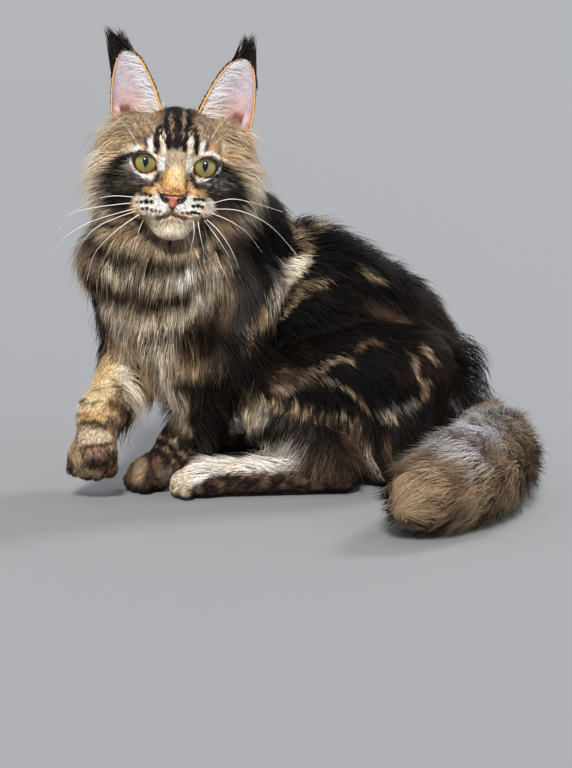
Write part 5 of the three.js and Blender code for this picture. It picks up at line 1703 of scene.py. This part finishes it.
def tubes(lines, radii, around=5):
    """Closed tapering tubes along lines, as points and faces."""
    points, faces = [], []
    start = 0
    for line, radius in zip(lines, radii):
        line = np.asarray(line, float)
        radius = np.broadcast_to(radius, len(line))
        forward = unit(np.gradient(line, axis=0))
        side = unit(np.cross(forward, (0.31, 0.52, 0.79)))
        out = np.cross(forward, side)
        angle = full_turn(around)
        ring = side[:, None] * np.cos(angle)[None, :, None] + out[:, None] * np.sin(angle)[None, :, None]
        body = (line[:, None] + ring * radius[:, None, None]).reshape(-1, 3)
        points.append(np.vstack([body, line[0], line[-1]]))
        quads = grid_faces(len(line), around, closed=True)[:, ::-1]
        first, last = len(body), len(body) + 1
        base = len(body) - around
        ends = []
        for c in range(around):
            d = (c + 1) % around
            ends += [(first, d, c), (last, base + c, base + d)]
        faces.append(np.concatenate([quads[:, (0, 1, 2)], quads[:, (0, 2, 3)], ends]) + start)
        start += len(body) + 2
    return np.concatenate(points), np.concatenate(faces)


LIP_RADII = ((0, 0.2, 0.32, 0.5, 0.68, 0.8, 1), (0.1, 0.15, 0.6, 0.9, 0.6, 0.15, 0.1))
LIP_TONE = srgb(84, 66, 66)
lip_radii = np.interp(np.linspace(0, 1, len(mouth_line)), *LIP_RADII)
points, faces = tubes([mouth_line + (0, 0.7, 0), on_face(PHILTRUM, 8) + (0, -0.2, 0)], [lip_radii, 0.55])
new_piece("lips", points, faces, LID, tint=const(points, LIP_TONE))


# Ears

EAR_THICKNESS = 2.0
# for each side: the middle and the half width at the foot and at the tip, in x, and the height of the tip
EAR_SETS = {-1: (29.8, 43.4, 18.0, 14.4, 81.5), 1: (32.6, 46.4, 19.4, 15.8, 82.5)}


def ear_point(way, across, up, offset):
    """A point of the ear's shell: across from the inner edge to the outer, up to the tip."""
    low_middle, high_middle, low_half, high_half, top = EAR_SETS[way]
    high = np.maximum(up, 0)
    width = np.sqrt(np.maximum(0, 1 - high**2.6))
    middle = np.stack([lerp(low_middle, high_middle, high**0.9), lerp(42, 45, up), lerp(24, top, up)], -1)
    half = lerp(low_half, high_half, up) * width
    drop = half * lerp(0.42, 0.15, up)
    inner = middle + np.stack([-half, -3 + 0 * up, drop], -1)
    outer = middle + np.stack([half, 1 + 0 * up, -drop], -1)
    bow = lerp(19, 1.2, high**1.5) + offset
    angle = np.pi * across
    centre = (inner + outer) / 2
    reach = outer - centre + unit(outer - inner) * offset[..., None]
    at = centre - reach * np.cos(angle)[..., None]
    at[..., 1] += np.sin(angle) * bow
    return from_head(at * (way, 1, 1))


EAR_ROWS, EAR_COLUMNS = 40, 36
PINK = srgb(196, 158, 152)
LAVENDER = srgb(190, 177, 184)
FLESH_SHADE = srgb(132, 78, 66)


def ear_shell(way):
    up = np.linspace(-0.2, 0.995, EAR_ROWS)
    across = np.linspace(0, 1, EAR_COLUMNS)
    u, a = np.moveaxis(grid(up, across), -1, 0)
    thick = EAR_THICKNESS * lerp(0.7, 0.4, np.maximum(u, 0))
    pocket = 3.2 * bump(a, 0.80, 0.03, 0.05) * bump(u, 0.14, 0.12, 0.1)  # fold on the outer edge
    fold = pocket[..., None] * (HEAD_TURN @ np.array([-way * 0.6, -0.8, 0.0]))
    inside = ear_point(way, a, u, np.full(a.shape, 0.25)) + fold
    outside = ear_point(way, a[:, ::-1], u, thick)
    points = np.concatenate([inside, outside], 1).reshape(-1, 3)
    faces = grid_faces(EAR_ROWS, 2 * EAR_COLUMNS, closed=True)
    edge = np.minimum(a, 1 - a).ravel()
    u, a = u.ravel(), a.ravel()
    glow = paint(PINK, LAVENDER, step(0.25, 0.7, u))
    # painted shade in the pocket at the ear's foot
    glow = paint(glow, FLESH_SHADE, 0.85 * step(0.36, 0.16, u) * step(0.35, 0.55, a) * step(0.95, 0.86, a))
    # painted shade in the hollow beside the fold
    glow = paint(glow, FLESH_SHADE * 0.7, 0.85 * bump(a, 0.66, 0.05, 0.08) * bump(u, 0.2, 0.1, 0.08))
    # lighter on the fold: painted highlight
    glow = paint(glow, LAVENDER, 0.9 * bump(a, 0.80, 0.03, 0.03) * bump(u, 0.18, 0.14, 0.06))
    glow = paint(glow, ORANGE, 0.85 * step(0.07, 0.02, edge))
    back = paint(UMBER, BLACK, 0.5 + 0.4 * step(0.5, 1, u))
    back = paint(back, GOLD, 0.6 * step(0.12, 0.0, edge))
    shape = (EAR_ROWS, EAR_COLUMNS, 3)
    tint = np.concatenate([glow.reshape(shape), back.reshape(shape)[:, ::-1]], 1).reshape(-1, 3)
    return points, faces[:, ::-1] if way > 0 else faces, tint


for side_name, way in SIDES:
    points, faces, tint = ear_shell(way)
    new_piece(f"ear_shell_{side_name}", points, faces, EAR, tint=tint, nodes=[f"ear_{side_name}"])

# Ear hair: count, across and up ranges, offset, direction (mirrored on the right) and its scatter, length and
# width ranges, droop and two tones; on the back, the inner edge, the foot, the lining and both edges
EAR_HAIR = (
    (3200, (0.02, 0.98), (-0.05, 0.97), 1.2, (0.0, 0.3, 1.0), 0.12, (3, 6), (0.6, 0.9), 0, BLACK, UMBER),
    (190, (0.0, 0.14), (0.02, 0.92), 0.1, (0.92, -0.25, 0.2), 0.26, (14, 32), (0.14, 0.24), 0.1, WHITE, ICE),
    (320, (0.1, 0.5), (-0.05, 0.2), 0.1, (0.35, -0.5, 0.8), 0.25, (8, 17), (0.3, 0.5), 0.05, CREAM, TAN),
    (420, (0.06, 0.9), (0.32, 0.97), -0.1, (0.8, -0.1, 0.5), 0.25, (3, 7), (0.16, 0.26), 0, LAVENDER, ICE),
    (420, (0.0, 0.02), (-0.02, 0.9), 0.5, (-0.12, -0.4, 0.9), 0.1, (1.8, 3.4), (0.3, 0.5), 0, GOLD, ORANGE),
    (420, (0.98, 1.0), (-0.02, 0.9), 0.5, (0.12, -0.4, 0.9), 0.1, (1.8, 3.4), (0.3, 0.5), 0, GOLD, ORANGE),
)
EAR_HAIR_TONES = (0.75, 0.9, 1.0, 1.05)  # from root to tip, darker at the root as painted shade
TUFT_COUNT = 420
TUFT_OFFSET = 2.4
# where the two locks of each lynx tuft end, from the tip of the ear
TUFT_ENDS = {-1: ((16.6, 0.2, 18.8), (5.5, 0.2, 17.2)), 1: ((-1.1, 0.4, 19), (5.8, 0.2, 20.5))}


def ear_hair(way):
    """Strand paths, sides, widths, colours and places for one ear."""
    sets = []

    def add(a, u, offset, end, width, tone, droop, outward):
        """Strands from the shell at (a, u) to their ends, in the head's frame before mirroring."""
        root = ear_point(way, a, u, offset)
        end = end * (way, 1, 1) @ HEAD_TURN.T
        length = np.linalg.norm(end, axis=1)
        path = np.stack([root - 0.15 * end, root, root + 0.5 * end, root + end], 1)
        path[:, 2:, 2] -= droop * length[:, None] * np.array([0.25, 1.0])
        side = np.repeat(unit(np.cross(end, (0.2, -1.0, 0.1)))[:, None], 4, 1)
        own = random.uniform(0.85, 1.12, len(a))[:, None, None] * np.array(EAR_HAIR_TONES)[None, :, None]
        colour = np.clip(tone[:, None, :] * own, 0, 0.97)
        normal = const(root, unit(np.array(outward, float)))
        sets.append((path, side, width, colour, normal, np.stack([a, np.clip(u, 0, 1)], 1)))

    for n, a, u, offset, way_out, scatter, length, width, droop, tone, other in EAR_HAIR:
        a, u = random.uniform(*a, n), random.uniform(*u, n)
        end = unit(np.array(way_out) + scatter * random.normal(size=(n, 3)))
        end = end * (random.uniform(*length, n) * lerp(1, 0.55, np.clip(u, 0, 1)))[:, None]
        tones = paint(tone, other, random.uniform(size=n))
        edge = np.minimum(a, 1 - a)
        if offset > 1:
            tones = paint(tones, GOLD, 0.8 * step(0.2, 0.03, edge) + 0.4 * step(0.3, 0, u))
        outward = (0.0, 1.0, 0.3) if offset > 1 else (0.0, -1.0, 0.35)
        add(a, u, np.full(n, offset), end, random.uniform(*width, n), tones, droop, outward)
    # the lynx tuft
    n = TUFT_COUNT
    u = random.uniform(0.72, 0.985, n)
    a = random.uniform(0.55, 0.97, n) * (u < 0.9) + random.uniform(0.1, 0.9, n) * (u >= 0.9)
    tip = to_head(ear_point(way, np.array([0.5]), np.array([0.99]), np.zeros(1)))[0] * (way, 1, 1)
    near, far = tip + np.array(TUFT_ENDS[way])
    mix = np.where(random.uniform(size=(n, 1)) < 0.55, 0.0, 1.0) + 0.16 * random.normal(size=(n, 1))
    end = lerp(near, far, mix) + random.normal(size=(n, 3)) * (0.8, 1.0, 1.2)
    offset = np.full(n, TUFT_OFFSET)
    root = to_head(ear_point(way, a, u, offset)) * (way, 1, 1)
    end = (end - root) * random.uniform(0.55, 1.02, (n, 1))
    tones = paint(INK * 0.8, SOOT, 0.3 * random.uniform(size=n))
    add(a, u, offset, end, random.uniform(0.45, 0.8, n), tones, 0, (0, -1, 0.35))
    return [np.concatenate([s[i] for s in sets]) for i in range(6)]


for side_name, way in SIDES:
    path, side, width, colour, normal, uv = ear_hair(way)
    strand_piece(f"ear_hair_{side_name}", path, side, width, colour, normal, 0.02 + 0.96 * uv, "ear", 0.5)


# Whiskers: lines in the front view from the pads, and how far their middles bow forward

WHISKERS = (
    (((-124, 144.8), (-139.2, 143.2), (-155.2, 140.8), (-168, 137.6), (-175.2, 132), (-182.4, 123.2)), 10),
    (((-121.6, 140), (-138.4, 135.6), (-156.8, 129.6), (-174.4, 119.2), (-184, 108.8), (-188.8, 100.8)),
      14),
    (((-120, 138.4), (-136, 132.8), (-151.2, 125.6), (-161.6, 115.2), (-167.2, 104), (-168.8, 91.2)), 12),
    (((-116.8, 136), (-131.2, 126.4), (-144, 115.2), (-153.6, 103.2), (-159.2, 83.2)), 10),
    (((-113.6, 132), (-117.6, 123.2), (-118.4, 114.4), (-116.8, 104)), 4),
    (((-121.6, 149.6), (-139.2, 150.4), (-155.2, 146.4), (-176, 134.4)), 8),
    (((-64, 132), (-54.4, 123.2), (-44, 108), (-36.8, 89.6), (-34.4, 75.2)), 12),
    (((-65.6, 131.2), (-58.4, 121.6), (-49.6, 108.8), (-42.4, 94.4), (-38.4, 83.2)), 10),
    (((-70.4, 130.4), (-68.8, 120), (-66.4, 108.8), (-65.6, 97.6)), 4),
    (((-74, 130.4), (-73.6, 120), (-76, 108.8), (-77.6, 97.6)), 4),
    (((-58.4, 144.8), (-43.2, 148), (-25.6, 144.8), (-2.4, 137.6)), 10),
    (((-58.4, 140), (-40, 139.2), (-22.4, 132.8), (-8, 122.4), (8, 104)), 14),
    (((-60, 136.8), (-46.4, 131.2), (-32, 121.6), (-19.2, 105.6)), 10),
)  # fmt: skip
BROW_WHISKERS = (
    (((-117.6, 188.8), (-121.6, 196.8), (-129.6, 208), (-139.2, 217.6)), -4),
    (((-115.2, 189.6), (-116.8, 200), (-122.4, 212.8)), -4),
    (((-112.8, 189.6), (-111.2, 200), (-113.6, 214.4)), -4),
    (((-62.4, 186.4), (-59.2, 196.8), (-52, 208), (-43.2, 217.6)), -4),
    (((-60, 185.6), (-53.6, 195.2), (-43.2, 203.2)), -4),
    (((-64.8, 187.2), (-64.8, 198.4), (-60.8, 211.2)), -4),
)
WHISKER_STEPS = 14
whisker_lines, whisker_radii = [], []
for group, thick, spread in ((WHISKERS, 0.34, 22), (BROW_WHISKERS, 0.22, -6)):
    for line, bow in group:
        s = np.linspace(0, 1, WHISKER_STEPS)
        root = on_face(line, 1)[0]
        y = root[1] - bow * np.sin(np.pi * np.minimum(s * 1.2, 1)) + spread * s**2
        whisker_lines.append(from_view(*curve(line, s).T, y))
        whisker_radii.append(thick * lerp(1, 0.25, s))
points, faces = tubes(whisker_lines, whisker_radii, 4)
new_piece("whiskers", points, faces, WHISKER, tint=const(points, WHITE))


# Floor, light and camera

FLOOR_HALF = 90.0  # metres
FLOOR_TONE = (0.282, 0.288, 0.300, 1)
SKY_TONE = (0.84, 0.86, 0.89, 1)
SKY_STRENGTH = 0.54
mesh = bpy.data.meshes.new("floor")
corners = [(x * FLOOR_HALF, y * FLOOR_HALF, 0) for x, y in ((-1, -1), (1, -1), (1, 1), (-1, 1))]
mesh.from_pydata(corners, [], [(0, 1, 2, 3)])
floor_material = bpy.data.materials.new("floor")
floor_material.use_nodes = True
floor_shader = floor_material.node_tree.nodes["Principled BSDF"]
socket(floor_shader, "Base Color", FLOOR_TONE)
socket(floor_shader, "Roughness", 0.85)
mesh.materials.append(floor_material)
floor = new_object("floor", mesh)


# each light: where it stands from the middle of the cat, its power, its colour and its width in degrees
LIGHTS = {
    "key": ((-0.1, -1.7, 1.1), 4.0, (1.0, 0.97, 0.93), 9),
    "rim": ((1.4, 1.6, 1.7), 1.3, (0.95, 0.97, 1.0), 14),
    "fill": ((1.6, -1.6, 0.9), 0.35, (0.9, 0.95, 1.0), 30),
}
cat_middle = place((0, -20, 150))
for name, (away, power, colour, width) in LIGHTS.items():
    sun = bpy.data.lights.new(name, "SUN")
    sun.energy = power
    sun.color = colour
    sun.angle = math.radians(width)
    light = new_object(name, sun)
    light.location = cat_middle + away
    light.rotation_euler = (-Vector(away)).to_track_quat("-Z", "Y").to_euler()

world = bpy.data.worlds.new("studio")
world.use_nodes = True
socket(world.node_tree.nodes["Background"], "Color", SKY_TONE)
socket(world.node_tree.nodes["Background"], "Strength", SKY_STRENGTH)
bpy.context.scene.world = world
bpy.context.scene.view_settings.view_transform = "Standard"

SENSOR = 36.0
LENS = 111.33
CLIP_END = 200  # metres
camera_data = bpy.data.cameras.new("camera")
camera_data.sensor_fit = "VERTICAL"
camera_data.sensor_height = SENSOR
camera_data.lens = LENS
camera_data.clip_end = CLIP_END
camera = new_object("camera", camera_data)
camera.location = place(VIEWPOINT)
camera.rotation_euler = Vector(FORWARD).to_track_quat("-Z", "Y").to_euler()
bpy.context.scene.camera = camera
